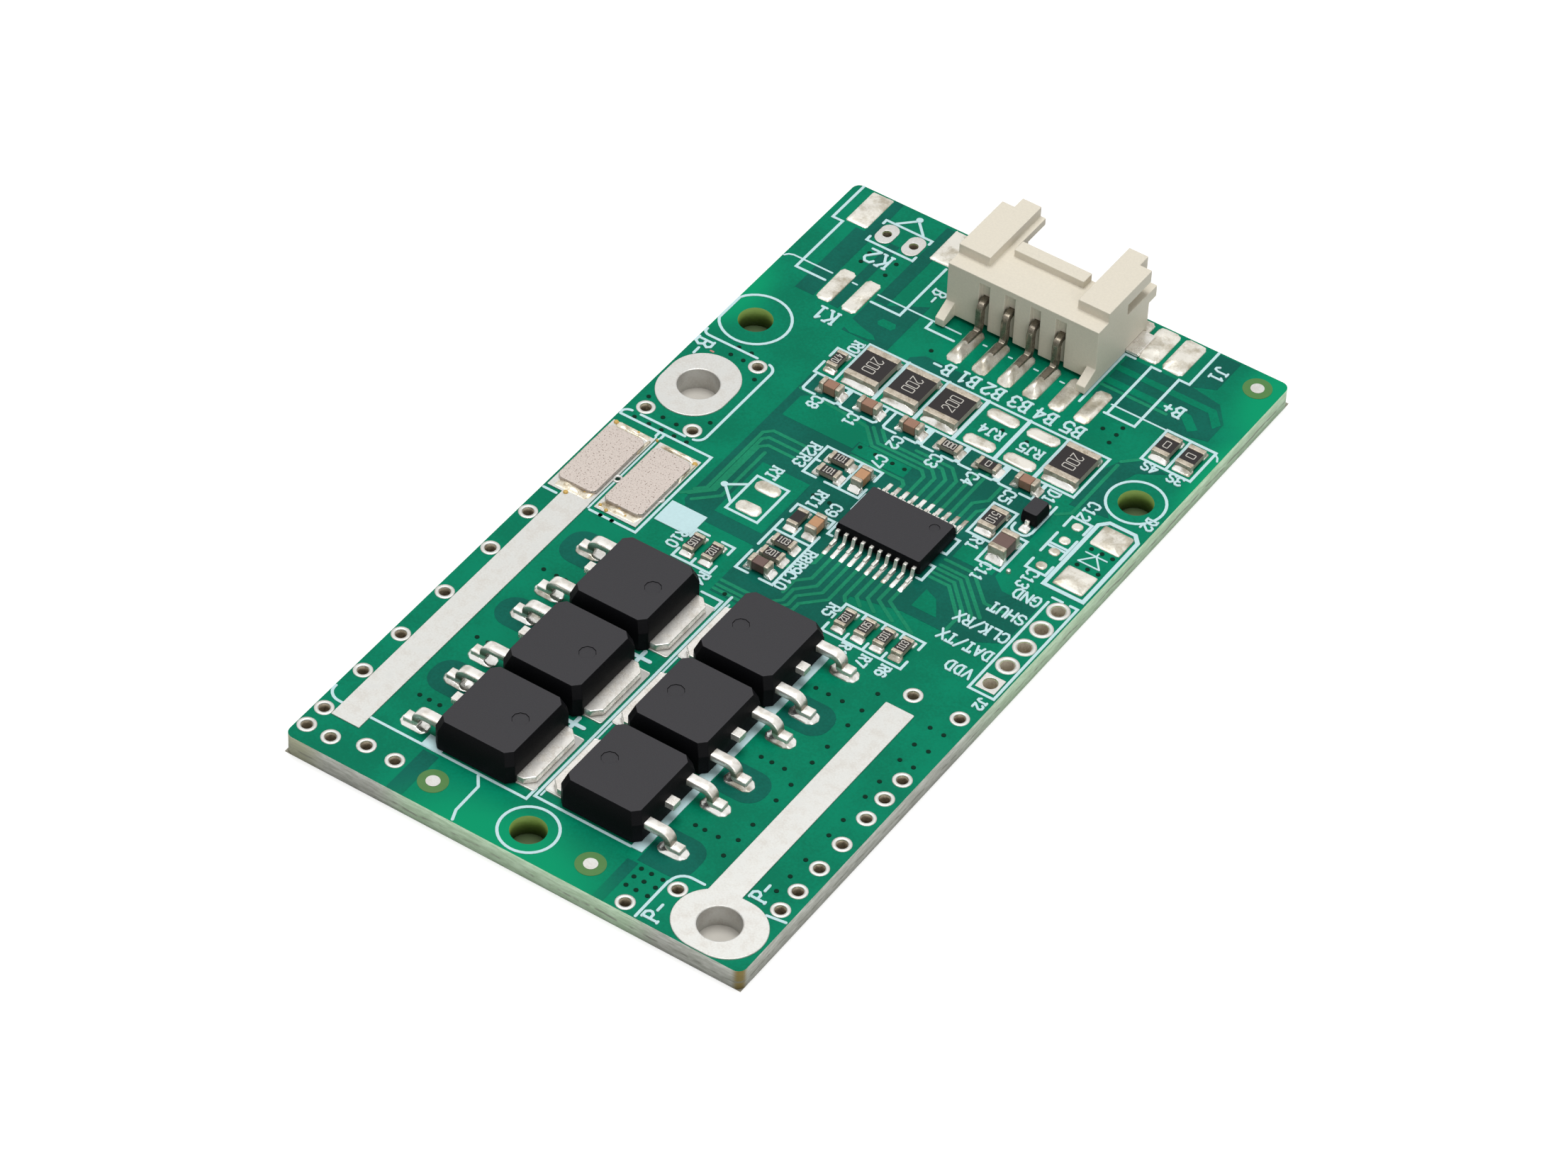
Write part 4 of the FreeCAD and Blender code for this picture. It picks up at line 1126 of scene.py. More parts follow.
traces = {"width": 0.26, "paths": drawn(
    "1.7,8.7 1.7,9.2 1.4,9.5 -2.6,9.5 | 2.35,8.7 2.35,10.6 1.9,11.05 -2,11.05 -3.3,12.4 -8.9,12.95 | "
    "3,8.7 3,10.9 2.4,11.5 -1.8,11.5 -2.9,12.6 | 3.65,8.7 3.65,11.2 2.9,11.95 -1.5,11.95 -2.3,12.75 | "
    "4.3,8.7 4.3,11.5 3.4,12.4 0.6,12.4 | 4.95,8.7 4.95,12.9 | 5.6,8.7 5.6,14.2 | "
    "6.25,8.7 6.25,10.4 7,11.2 7,12.8 | 6.9,8.7 6.9,9.9 7.3,10.4 | 7.7,5 9.9,5 11.9,3.1 14.9,3.1 | "
    "7.7,4.4 9.7,4.4 12.4,1.8 | 7.7,4 9.5,4 12,1.5 | 7.7,3.55 9.3,3.55 11.6,1.2 | "
    "7.7,3.1 9.2,3.1 11.2,1 11.2,-0.4 | -5.2,8.45 -8,8.45 -8.5,7.95 -8.5,1.5 -9.1,0.9 | "
    "-5.2,7.1 -7.5,7.1 -7.95,6.65 -7.95,1.6 -9.2,0.35 | -5.2,7.75 -7.9,7.75 -8.2,7.4 -8.2,1.5 -9.6,0.1 | "
    "-7.3,6.4 -7.3,1.4 -8.7,0 | 1.05,1.2 1.05,-0.2 -0.2,-1.5 | 1.7,1.2 1.7,-1.5 0.9,-2.3 0.9,-3.6 | "
    "2.35,1.2 2.35,-1.9 1.3,-3 1.3,-4.2 0.5,-5 -2.9,-5 | 3,1.2 3,-2.2 1.8,-3.4 1.8,-4.4 0.7,-5.5 -2.9,-5.5 | "
    "3.65,1.2 3.65,-2.5 2.3,-3.9 2.3,-4.6 1,-5.9 -2.9,-5.9 | 4.3,1.2 4.3,-1.6 4.6,-2 | "
    "4.95,1.2 4.95,-1.2 5.6,-1.8 | 5.6,1.2 5.6,-0.9 6.6,-1.7 | 6.25,1.2 6.25,-0.6 8,-1.7 | "
    "6.9,1.2 6.9,-0.3 9.6,-1.9 | 12,19.4 13.6,21 | 7,25 12,25 | 11.2,12.7 12,13.4 12,19")}
vias = {"radius": 0.16, "height": 0.07, "places": [*drawn(
    "-12.6,26.75 -10.5,26.85 -12.6,25.7 -10.5,25.5 -3.9,21.05 10.4,22.2 9.35,21.4 10.4,21.4 10.4,20.5 "
    "4.1,17.35 6,17.35 -14.4,13.8 -13.4,13.8 -14.45,12.9 -13.45,12.9 -11.8,11.8 -11.8,6.65 -16.5,6.35 "
    "-14.6,5.25 -13.5,5.2 -16.15,4.2 -15,4.2 -14,4.2 -13,4.2 -12,4.2 -2.55,10.5 -1.35,10.5 0,10.45 "
    "0.95,10.45 -2.5,4.95 -1.25,4.95 14.8,11.35 15.6,11.35 16.4,11.35 14.8,9.6 15.6,9.6 16.4,9.6 -12.6,-4.7 "
    "-11.7,-4.7 -2,-5.95 -12.65,-10.9 -11.65,-10.9 -10.95,-10.9 -12.5,-18.35 -11.65,-18.35 -12.4,-24.6 "
    "-11.65,-24.6 -10.85,-24.6 10.85,-7.65 10.85,-9.45 10.85,-11.05 10.85,-13.35 10.85,-15.05 10.85,-17.4 "
    "10.85,-19.05 10.85,-21.6 10.85,-23.2 10.85,-24.8 7.4,-9.5 8.35,-9.5 9.4,-9.5 8,-16.5 8.8,-16.5 "
    "9.75,-16.5 8,-23.7 8.7,-23.7 9.7,-23.7 16.2,-8.25 16.2,-10 16.2,-11.7 15.15,-8.2 15.15,-10 15.15,-11.65 "
    "15.15,-13.95 15.15,-15.55 15.15,-18 15.15,-19.6 15.15,-22.15 15.15,-23.85 15.15,-25.35 7.4,-28.65 "
    "8.15,-28.65 9,-28.65 7.4,-29.45 8.15,-29.45 9,-29.45 7.4,-30.3 8.15,-30.3 9,-30.3")[0], *hiddenRings]}


def discTree():                              # a flat disc on every point
    tree, nodes, given = newTree("small disc", "Radius", "Height")
    disc = nodes.put("GeometryNodeMeshCylinder", sockets={
        "Vertices": 14, "Radius": given["Radius"], "Depth": given["Height"]})
    closeTree(nodes, given, disc)
    return tree


smallDiscs = discTree()


stroke = {"drop": 0.002, "cycle": 7, "turnBack": -0.2}       # steps in height, and cosine of a sharp turn


def runsOf(path):                            # a path is cut where it turns back sharply
    runs = [[path[0]]]
    for before, here, after in zip(path, path[1:], path[2:] + [None]):
        runs[-1].append(here)
        if after is not None:
            came = Vector((here[0] - before[0], here[1] - before[1])).normalized()
            goes = Vector((after[0] - here[0], after[1] - here[1])).normalized()
            if came.dot(goes) < stroke["turnBack"]:
                runs.append([here])
    return runs


def strokes(name, paths, width, low, high, finish, slot):
    heap = Heap()
    number = 0
    for path in paths:
        for run in runsOf(path):             # neighbours differ in height, so that no two tops coincide
            heap.ribbon(run, width / 2, low, high - stroke["drop"] * (number % stroke["cycle"]))
            number += 1
    return heap.show(name, finish, slot, smooth=False)


def addCopper():
    top = board["top"]
    step, sunk = copper["step"], copper["sunk"]
    heap = Heap()
    # bare glass, and painted shadow beside the connector
    for outline in glassAndShadowPatches:
        heap.prism(counterClockwise(outline), top - sunk, top + step)
    for left, right, front, rear, side in tongues:
        heap.prism(tongueOutline(left, right, front, rear, side), top - sunk, top + step)
    heap.show("mask_bare_glass_and_painted_shadow", "maskDark", "board", smooth=False)
    heap = Heap()
    for outline in pourIslands:
        heap.prism(counterClockwise(outline), top, top + 2 * step)
    heap.show("mask_pour_islands", "mask", "board", smooth=False)
    strokes("mask_traces", traces["paths"], traces["width"], top, top + 2.5 * step, "maskTrace", "board")
    # painted shade: dark discs stand for the holes of the small vias
    centres = pointMesh("small_vias", [(x, y, top) for x, y in vias["places"]])
    show("small_vias", useTree(centres, "small_vias", smallDiscs, {
        "Radius": vias["radius"] * mm, "Height": vias["height"] * mm, "Material": paint["hole"]}), "board")


def counterClockwise(outline):
    turn = sum(x1 * y2 - x2 * y1 for (x1, y1), (x2, y2) in zip(outline, outline[1:] + outline[:1]))
    return outline if turn > 0 else outline[::-1]


def tongueOutline(left, right, front, rear, side):
    radius = min(copper["tongueRadius"], (rear - front) / 2)
    if side > 0:
        points = [(left, rear), (left, front)]
        corners = ((right - radius, front + radius, -90), (right - radius, rear - radius, 0))
    else:
        points = [(right, front), (right, rear)]
        corners = ((left + radius, rear - radius, 90), (left + radius, front + radius, 180))
    for x, y, start in corners:
        points += arc(x, y, radius, start, start + 90, copper["tongueSteps"])
    return points


addCopper()
print("copper, traces and vias made")


# the printed legend; its words and lines are strokes with round ends

glyphs = {                                   # strokes on a grid 4 wide and 6 high
    "0": "1,0 3,0 4,1.3 4,4.7 3,6 1,6 0,4.7 0,1.3 1,0", "1": "0.8,4.8 2,6 2,0 | 0.8,0 3.2,0",
    "2": "0,4.8 1,6 3,6 4,4.8 4,3.9 0,0 4,0",
    "3": "0,5.2 1,6 3,6 4,4.8 3,3.2 1.6,3.2 | 3,3.2 4,1.6 3,0 1,0 0,0.8", "4": "3,0 3,6 0,2 4,2",
    "5": "4,6 0.4,6 0,3.4 1,3.8 3,3.8 4,2.6 4,1.2 3,0 1,0 0,0.9",
    "6": "3.6,5.4 2.6,6 1.2,6 0,4.4 0,1.4 1,0 3,0 4,1.2 4,2.4 3,3.6 | 3,3.6 1,3.6 0,2.4", "7": "0,6 4,6 1.6,0",
    "8": "1,3.2 0,4.4 1,6 3,6 4,4.4 3,3.2 1,3.2 | 1,3.2 0,1.8 1,0 3,0 4,1.8 3,3.2",
    "9": "0.4,0.6 1.4,0 2.8,0 4,1.6 4,4.6 3,6 1,6 0,4.8 0,3.6 1,2.4 | 1,2.4 3,2.4 4,3.6",
    "A": "0,0 2,6 4,0 | 0.7,2 3.3,2",
    "B": "0,0 0.6,0 | 0.6,0 0.6,6 0,6 | 0.6,6 2.9,6 4,4.9 2.9,3.2 0.6,3.2 | 2.9,3.2 4,1.7 2.9,0 0.6,0",
    "C": "4,4.8 3,6 1,6 0,4.6 0,1.4 1,0 3,0 4,1.2",
    "D": "0,0 0.5,0 0.5,6 0,6 | 0.5,6 2.5,6 4,4.4 4,1.6 2.5,0 0.5,0",
    "G": "4,4.8 3,6 1,6 0,4.6 0,1.4 1,0 3,0 4,1.2 4,2.8 2.4,2.8", "H": "0,0 0,6 | 4,0 4,6 | 0,3 4,3",
    "J": "3,6 3,1.4 2.2,0 1,0 0,1.2 | 1.8,6 4,6",
    "K": "0.5,0 0.5,6 | 3.7,6 0.5,2.4 | 1.7,3.6 3.7,0 | 0,0 1.1,0 | 0,6 1.1,6 | 3.1,6 4.3,6 | 3.1,0 4.3,0",
    "L": "0,6 0,0 4,0", "N": "0,0 0,6 4,0 4,6",
    "P": "0,0 1,0 | 0.5,0 0.5,6 0,6 | 0.5,6 2.9,6 4,4.9 4,4 2.9,3 0.5,3",
    "R": "0,0 1,0 | 0.5,0 0.5,6 0,6 | 0.5,6 2.9,6 4,4.9 4,4.1 2.9,3.1 0.5,3.1 | 2.2,3.1 4,0",
    "S": "4,5.1 3,6 1,6 0,5 0,4.1 1,3.2 3,2.8 4,1.9 4,1 3,0 1,0 0,0.9",
    "T": "0,5.2 0,6 4,6 4,5.2 | 2,6 2,0 | 1,0 3,0", "U": "0,6 0,1.3 1,0 3,0 4,1.3 4,6", "V": "0,6 2,0 4,6",
    "X": "0,0 4,6 | 0,6 4,0", "/": "0,-0.5 4,6.5", "-": "0.2,3 3.8,3", "+": "0.2,3 3.8,3 | 2,1.2 2,4.8",
    "O": "0.5,0 3.5,0 4,0.5 4,5.5 3.5,6 0.5,6 0,5.5 0,0.5 0.5,0"}


def lettering(words, x, y, height, turn, squeeze=0.85, gap=1.6):     # strokes of a word centred on x, y
    unit = height / 6
    wide = (len(words) * 4 + (len(words) - 1) * gap) * unit * squeeze
    across = Matrix.Rotation(math.radians(turn), 2)
    paths = []
    for place, letter in enumerate(words):
        for line in drawn(glyphs[letter]):
            spots = [across @ Vector(((u + place * (4 + gap)) * unit * squeeze - wide / 2, (v - 3) * unit))
                     for u, v in line]
            paths.append([(x + spot.x, y + spot.y) for spot in spots])
    return paths


def rectangle(left, right, front, rear):
    return [(left, front), (right, front), (right, rear), (left, rear), (left, front)]


legendWords = [                              # word, middle, height and turn
    ("K2", -11.75, 26.55, 1.3, 180), ("K1", -11.5, 19.8, 1.2, 180), ("J1", 12.85, 30.3, 0.95, -90),
    ("B+", 12.2, 25.6, 1, 180), ("B-", -6.5, 25.7, 0.95, -90), ("B-", -16.52, 12.35, 1.2, -90),
    ("B-", -2.35, 20.1, 1.05, 180), ("B1", -0.35, 20.1, 1.05, 180), ("B2", 1.6, 20.1, 1.05, 180),
    ("B3", 3.7, 20.1, 1.05, 180), ("B4", 5.7, 20.1, 1.05, 180), ("B5", 7.85, 20.1, 1.05, 180),
    ("4S", 13.85, 20, 0.75, 180), ("3S", 15.8, 20, 0.75, 180), ("RJ4", 3.65, 16.75, 0.8, 180),
    ("RJ5", 6.7, 16.75, 0.8, 180), ("R0", -8.1, 18.35, 0.75, -90), ("C8", -7.35, 12.3, 0.75, -90),
    ("C1", -4.5, 12.3, 0.75, -90), ("C2", -0.95, 12.2, 0.75, -90), ("C3", 2.05, 12.2, 0.8, -90),
    ("C4", 4.9, 12.2, 0.8, -90), ("C5", 7.8, 12.2, 0.8, -90), ("R2R3", -4.95, 7.85, 0.8, -90),
    ("C7", -0.8, 10.1, 0.75, -90), ("RT", -5.7, 5.15, 0.8, -90), ("RT1", -2.05, 4.7, 0.75, -90),
    ("C9", -0.6, 4.5, 0.75, -90), ("R8R9C10", 0.45, -1.5, 0.75, -90), ("R10", -7.35, -3.55, 0.75, -90),
    ("R4", -4, -5.7, 0.75, -90), ("R5", 4.35, -3.2, 0.8, -90), ("R11", 6.9, -5.9, 0.7, -90),
    ("R7", 8.5, -5.8, 0.7, -90), ("R6", 10, -5.8, 0.7, -90), ("R1", 8.4, 7.35, 0.8, -90),
    ("C11", 10.15, 5.4, 0.75, -90), ("D1", 10.1, 13.9, 0.8, -90), ("C12", 12.85, 14.15, 0.8, -90),
    ("C13", 12.95, 6.55, 0.8, -90), ("D2", 16.65, 15.4, 0.75, -90), ("GND", 13.85, 5.1, 0.85, 180),
    ("SHUT", 13.6, 3.15, 0.85, 180), ("CLK/RX", 12.95, 1.15, 0.85, 180), ("DAT/TX", 12.95, -0.8, 0.85, 180),
    ("VDD", 13.85, -2.85, 0.85, 180), ("J2", 16.6, -4.65, 0.65, -90), ("P-", 10.2, -31.1, 1.1, 90),
    ("P-", 14.6, -25.95, 1.1, 90)]
legendLines = [
    *drawn(
        "-16.65,32.15 -16.65,28.35 -15.85,28.35 -15.85,22.7 -13.5,22.7 | -9.8,22.7 -7.5,22.7 -7.5,28.4 | "
        "-13.5,28.2 -13.5,27.75 -9.8,27.75 -9.8,28.2 | -13.5,29.8 -13.5,30.2 -9.8,30.2 -9.8,29.8 | "
        "-12.75,30.3 -11.65,31.4 -10.6,30.3 | 11.75,32.15 11.75,28.35 10.95,28.35 10.95,22.75 8.6,22.75 | "
        "8.8,22.75 8.8,28.35 9.5,28.35 | 6.7,22.7 6.7,28.4 7.5,28.4 | -5.4,23.4 -5.4,22.7 -3.2,22.7"),
    rectangle(-7.5, 11.3, 14.7, 19.15),
    *drawn("-9.05,16.65 -9.05,17.6 -7.6,17.6 | -9.05,16 -9.05,14.8 -7.6,14.8"),
    rectangle(12.9, 16.65, 20.45, 23.75), *drawn("14.75,20.45 14.75,23.75 | -16.7,13.6 -12.8,13.6"),
    arc(-16.7, 14.1, 0.5, 180, 270, 5),
    [*arc(-11.9, 12.85, 0.7, 80, 0, 6), *arc(-11.9, 5.35, 0.7, 0, -80, 6)],
    *drawn("-12.4,4.6 -15.9,4.6"),
    arc(-16.6, 4.0, 0.6, 90, 170, 5),
    *drawn(
        "-17.1,3.95 -9.85,3.95 -9.85,-4.7 -13.45,-4.7 | -13.95,3.95 -13.95,3.5 | -13.55,3.95 -13.55,3.5 | "
        "-17.1,-4.7 -16.1,-4.7 | -3.3,6.4 -4.3,6.4 -4.3,9.3 0,9.3 0,8.3 | 0,7.4 0,6.4 -2.6,6.4 | "
        "-1.55,6.4 -1.55,9.3 | -4.3,7.85 -3.95,7.85"),
    rectangle(-6.45, -4.0, 0.65, 4.3),
    *drawn(
        "-6.45,3.3 -7.7,2.4 -6.45,1.2 | -2.85,2.8 -2.85,3.65 0,3.65 0,2.9 | "
        "-2.85,1.9 -2.85,0.85 0,0.85 0,1.9 | -1.45,1.9 -1.45,0.85 | -2.85,0.85 -2.85,-0.9 | "
        "-2.85,-1.6 -2.85,-3.5 -1.9,-3.5 | -1,-3.5 0,-3.5 0,0.85 | -6.75,-2.9 -6.75,-2.15 -5.8,-2.15 | "
        "-4.8,-2.15 -3.85,-2.15 -3.85,-2.9 | -6.75,-4.2 -6.75,-5 -3.85,-5 -3.85,-4.2 | -5.35,-5 -5.35,-4.4 | "
        "4.8,-4.2 4.8,-5 10.8,-5 10.8,-4.2 | 4.8,-2.9 4.8,-2.15 10.8,-2.15 10.8,-2.9 | 6.4,-5 6.4,-4.3 | "
        "7.9,-5 7.9,-4.3 | 9.3,-5 9.3,-4.3 | 6.4,-2.15 6.4,-2.7 | 7.9,-2.15 7.9,-2.7 | 9.3,-2.15 9.3,-2.7 | "
        "0.25,7 0.25,5.3 | 0.25,3.7 0.25,2.5 0.6,2.5 | 7.1,6.95 7.5,6.95 7.5,5.4 7.1,5.4 | "
        "7.1,4 7.5,4 7.5,2.5 7.1,2.5"),
    rectangle(7.4, 9.2, 8.0, 11.25), rectangle(9.3, 11.1, 6.15, 9.45),
    [(10.9, 13.3), (10.9, 10.3), *arc(10.4, 10.2, 0.45, 0, -90, 4),
     *arc(9.95, 10.2, 0.45, -90, -170, 4), (9.5, 10.5)],
    *drawn(
        "12.2,12.1 12.2,13.15 13.7,13.15 13.7,12.1 | 12.2,11.35 12.2,9.3 | 13.7,11.35 13.7,9.3 | "
        "12.2,10.3 13.7,10.3 | 12.2,10.05 13.7,10.05 | 12.2,8.45 12.2,7.5 13.7,7.5 13.7,8.45 | "
        "15.15,5.6 15.15,-3.8 17.05,-3.8 17.05,6.1 16.5,6.1 | 15.9,6.1 15.15,6.1"),
    arc(14.85, 16.7, 2.0, 0, 360, 36), arc(-0.1, -30.05, 1.95, 0, 360, 36),
    arc(-15.05, 16.7, 2.45, 0, 360, 36),
    *drawn(
        "-3.3,-6.65 -1.75,-6.65 -1.75,-7.6 | -1.45,-5.95 -1.45,-27.5 5.8,-27.5 | "
        "-13.7,-28 -1.75,-28 -1.75,-26.9"),
    [*arc(-16.2, -27.0, 1.0, 180, 270, 6), (-15.2, -28.0)],
    *drawn("-5.3,-28.15 -4.75,-28.9 -4.7,-31.3 -4.4,-32.1"),
    [(9.35, -32.1), (9.35, -28.6), *arc(10.4, -28.5, 1.0, 180, 90, 6), (11.3, -27.5)],
    *drawn("15.8,-27.4 17.1,-27.2")]
legend = {
    "width": 0.2, "thin": 0.14, "thick": 0.3, "fine": 0.12, "margin": 0.01,
    "low": 0.005, "high": 0.045, "step": 0.016, "areaStep": 0.018,       # heights over the board
    "wordSizes": [("legend_words", 0.16, 0, 1), ("legend_large_words", 0.19, 1, 9)],
    "capBox": {"rear": 14.6, "front": 12.95, "corner": 0.15, "gap": 0.35},
    "thinLines": drawn(
        "-17.15,23.2 -16.95,23.45 -16.6,23.58 -13.5,23.58 | -11.85,23.58 -11.5,23.58 | "
        "-9.8,23.58 -3.2,23.58 | -1.4,23.58 -1.15,23.58 | 0.6,23.58 0.85,23.58 | 2.6,23.58 2.9,23.58 | "
        "4.65,23.58 4.95,23.58 | 8.6,23.7 16.55,23.7 16.95,23.4 17.1,23.1 | -13.87,3.4 -13.87,-4.6 | "
        "-13.63,3.4 -13.63,-4.6 | -1.2,-6.6 -1.2,-27.2"),
    "thickLines": drawn(
        "-3.85,-13.8 -2.35,-13.8 | -3.1,-13.2 -3.1,-14.4 | -3.85,-21 -2.35,-21 | -3.1,-20.4 -3.1,-21.6 | "
        "14,13.5 14.5,14.05 16.45,14.05 16.95,13.5 | 13.98,13.5 13.98,6.85 16.97,6.85 16.97,13.5 | "
        "-4.4,14.7 -4.4,19.15 | -1.2,14.7 -1.2,19.15 | 1.9,14.7 1.9,19.15 | 5.15,14.7 5.15,19.15 | "
        "8.2,14.7 8.2,19.15"),
    "diode": drawn("14.65,10.9 16.25,10.9 | 15.45,11.2 15.45,10.9 14.65,9.95 16.25,9.95 15.45,10.9"),
    "filled": drawn(
        "5.8,-27.55 6.65,-27.55 6.65,-6.7 5.8,-6.7 | -9.6,-2.95 -6.85,-2.95 -6.85,-0.85 -9.6,-0.85 | "
        "-9.8,-28.05 -8.3,-28.05 -8.3,-27 -9.8,-27 | 14.3,13.9 16.6,13.9 16.5,14.15 14.4,14.15 | "
        "0.1,12.95 0.62,12.95 0.62,14.7 0.1,14.7 | 3.1,12.95 3.5,12.95 3.5,14.7 3.1,14.7 | "
        "6.1,12.95 6.6,12.95 6.6,14.7 6.1,14.7 | -6.2,12.95 -5.8,12.95 -5.8,14.7 -6.2,14.7 | "
        "9.1,12.95 9.4,12.95 9.4,14.7 9.1,14.7"),
    "capBoxes": [(-8.8, -6.1), (-5.9, -3.05), (-2.45, 0.3), (0.5, 3.2), (3.4, 6.2), (6.5, 9.3)],
    "dots": [(-11.65, 31.5, 0.25), (-7.75, 2.4, 0.25)]}


def addLegend():
    low, high = board["top"] + legend["low"], board["top"] + legend["high"]
    step = legend["step"]
    edge = (board["width"] - legend["width"]) / 2 - legend["margin"]     # the lines end at the board's edge
    lines = [[(max(-edge, min(edge, x)), y) for x, y in path] for path in legendLines]
    rear, front, corner, gap = (legend["capBox"][key] for key in ("rear", "front", "corner", "gap"))
    for left, right in legend["capBoxes"]:
        middle = (left + right) / 2
        for outer, turn in ((left, 1), (right, -1)):
            side = [(outer, rear), (outer, front + corner), (outer + turn * corner, front),
                    (middle - turn * gap, front)]
            lines.append(side[::turn])
    strokes("legend_lines", lines, legend["width"], low, high, "ink", "board")
    strokes("legend_thin_lines", legend["thinLines"], legend["thin"], low, high - step, "ink", "board")
    strokes("legend_thick_lines", legend["thickLines"], legend["thick"], low, high + step, "ink", "board")
    strokes("legend_diode", legend["diode"], legend["fine"], low, high, "ink", "board")
    for name, width, least, most in legend["wordSizes"]:
        words = [path for word in legendWords if least <= word[3] < most for path in lettering(*word)]
        strokes(name, words, width, low, high + 2 * step, "ink", "board")
    heap = Heap()
    for outline in legend["filled"]:
        heap.prism(counterClockwise(outline), low, high + legend["areaStep"])
    for x, y, radius in legend["dots"]:
        heap.prism(circle(x, y, radius, 20), low, high + legend["areaStep"])
    heap.show("legend_areas", "ink", "board", smooth=False)


fiducials = {"places": [(15.6, 30.7), (-7.3, -30.15), (4.65, -30.15)],
             "dot": 0.47, "dotHeight": 0.05, "clear": 1.0, "clearHeight": 0.024}


def addFiducials():
    top = board["top"]
    clear = Heap()
    dots = Heap()
    for x, y in fiducials["places"]:
        clear.prism(circle(x, y, fiducials["clear"], 40), top, top + fiducials["clearHeight"])
        dots.prism(circle(x, y, fiducials["dot"], 28), top, top + fiducials["dotHeight"])
    clear.show("fiducial_rings", "bareGlass", "board", smooth=False)
    dots.show("fiducial_dots", "tin", "tinned_copper", smooth=False)


addLegend()
addFiducials()
print("legend printed:", len(legendWords), "words")


# value marks on the chips

marks = {
    "sunk": 0.02, "rise": 0.024, "bigSize": (0.88, 0.64, 1.7), "bigWidth": 0.062, "bigRow": 16.95,
    "smallSizes": (0.62, 0.5), "smallSqueeze": (0.9, 0.62), "smallGap": 1.6, "smallWidth": 0.06,
    "largeChip": 1.1,
    "big": [(-5.85, -90), (-2.72, -90), (0.41, 90), (9.8, -90)],
    "small": [("O", 0), ("O", 90), ("47O", -90), ("OOO", 0), ("O", 0), ("51O", -90), ("1O1", 0), ("1O1", 0),
              ("", 0), ("1O3", 0), ("1O2", 180), ("1O5", -90), ("1O2", -90), ("1O2", -90), ("1O5", 90),
              ("1O3", -90), ("1O3", 90)]}


def addMarks():
    sunk, rise = marks["sunk"], marks["rise"]
    height, squeeze, gap = marks["bigSize"]
    big = [path for x, turn in marks["big"]
           for path in lettering("2OO", x, marks["bigRow"], height, turn, squeeze, gap)]
    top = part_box("balance_resistor_1")[1].z / mm
    strokes("marks_big", big, marks["bigWidth"], top - sunk, top + rise, "marking", "resistor")
    small = []
    glazed = sorted(islands("chip_resistors"), key=lambda box: (-box[0].y, box[0].x))
    for (words, turn), (low, high) in zip(marks["small"], glazed):
        size = marks["smallSizes"][high.x - low.x <= marks["largeChip"]]
        squeeze = marks["smallSqueeze"][len(words) > 1]
        paths = lettering(words, (low.x + high.x) / 2, (low.y + high.y) / 2, size, turn, squeeze,
                          marks["smallGap"])
        small += [(high.z, path) for path in paths]
    for number, top in enumerate(sorted({height for height, path in small})):
        strokes("marks_small_" + str(number + 1), [path for height, path in small if height == top],
                marks["smallWidth"], top - sunk, top + rise, "marking", "resistor")


addMarks()
print("marks made")


# solder and dried flux round the weld tabs, a solder ball and a smudge

welds = {"solder": [(-16.95, -4.28, -13.85, -3.25), (-16.75, 2.62, -13.8, 3.2), (-13.4, -4.22, -10.05, -3.25),
                    (-13.35, 2.66, -10.1, 3.1), (-14.06, 1.2, -13.8, 2.9), (-10.42, 0.6, -10.12, 2.9)],
         "corner": 0.15, "coat": 0.12, "lumps": 9, "lumpWidth": (0.15, 0.4), "lumpHeight": (0.02, 0.09),
         "ball": ((11.42, 6.22), (11.78, 6.58), 0.17, 0.26),
         "smudge": ((-15.8, 12.35), (-15.45, 12.5), 0.07, 0.03),
         "flux": [(-15.66, -3.55, 0.17), (-15.6, -4.35, 0.2), (-16.75, 3.0, 0.2), (-11.87, -3.5, 0.2),
                  (-12.5, -4.2, 0.16), (-13.1, -4.0, 0.14), (-10.3, 2.7, 0.22), (-16.2, -3.4, 0.12),
                  (-14.6, -3.6, 0.1), (-11.2, -3.9, 0.1), (-15.0, 3.05, 0.12), (-13.6, 3.15, 0.1)]}


def addWelds():
    heap = Heap()
    for number, (left, front, right, rear) in enumerate(welds["solder"]):
        chance = random.Random(number)
        lumps = [(chance.uniform(left, right), chance.uniform(front, rear),
                  chance.uniform(*welds["lumpWidth"]), chance.uniform(*welds["lumpHeight"]))
                 for lump in range(welds["lumps"])]

        def rise(x, y, lumps=lumps):
            return welds["coat"] + sum(tall * math.exp(-((x - lx) ** 2 + (y - ly) ** 2) / wide ** 2)
                                       for lx, ly, wide, tall in lumps)
        heap.pool((left, front), (right, rear), welds["corner"], rise, number, 48, 12)
    heap.show("solder_welds", "weld", "tinned_copper")
    heap = Heap()
    for number, (x, y, radius) in enumerate(welds["flux"]):
        heap.pool((x - radius, y - radius), (x + radius, y + radius), radius * 0.95,
                  lambda px, py, radius=radius: radius * 0.5 + 0.12, number, 12, 4)
    heap.show("dried_flux", "flux", "tinned_copper")
    for name, seed, steps, rings, finish, slot in (("ball", 3, 16, 6, "solder", "tinned_copper"),
                                                   ("smudge", 5, 12, 3, "smudge", "board")):
        low, high, corner, tall = welds[name]
        heap = Heap()
        heap.pool(low, high, corner, lambda x, y, tall=tall: tall, seed, steps, rings)
        heap.show("solder_ball" if name == "ball" else name, finish, slot)


addWelds()
print("welds made")


# floor, light and camera

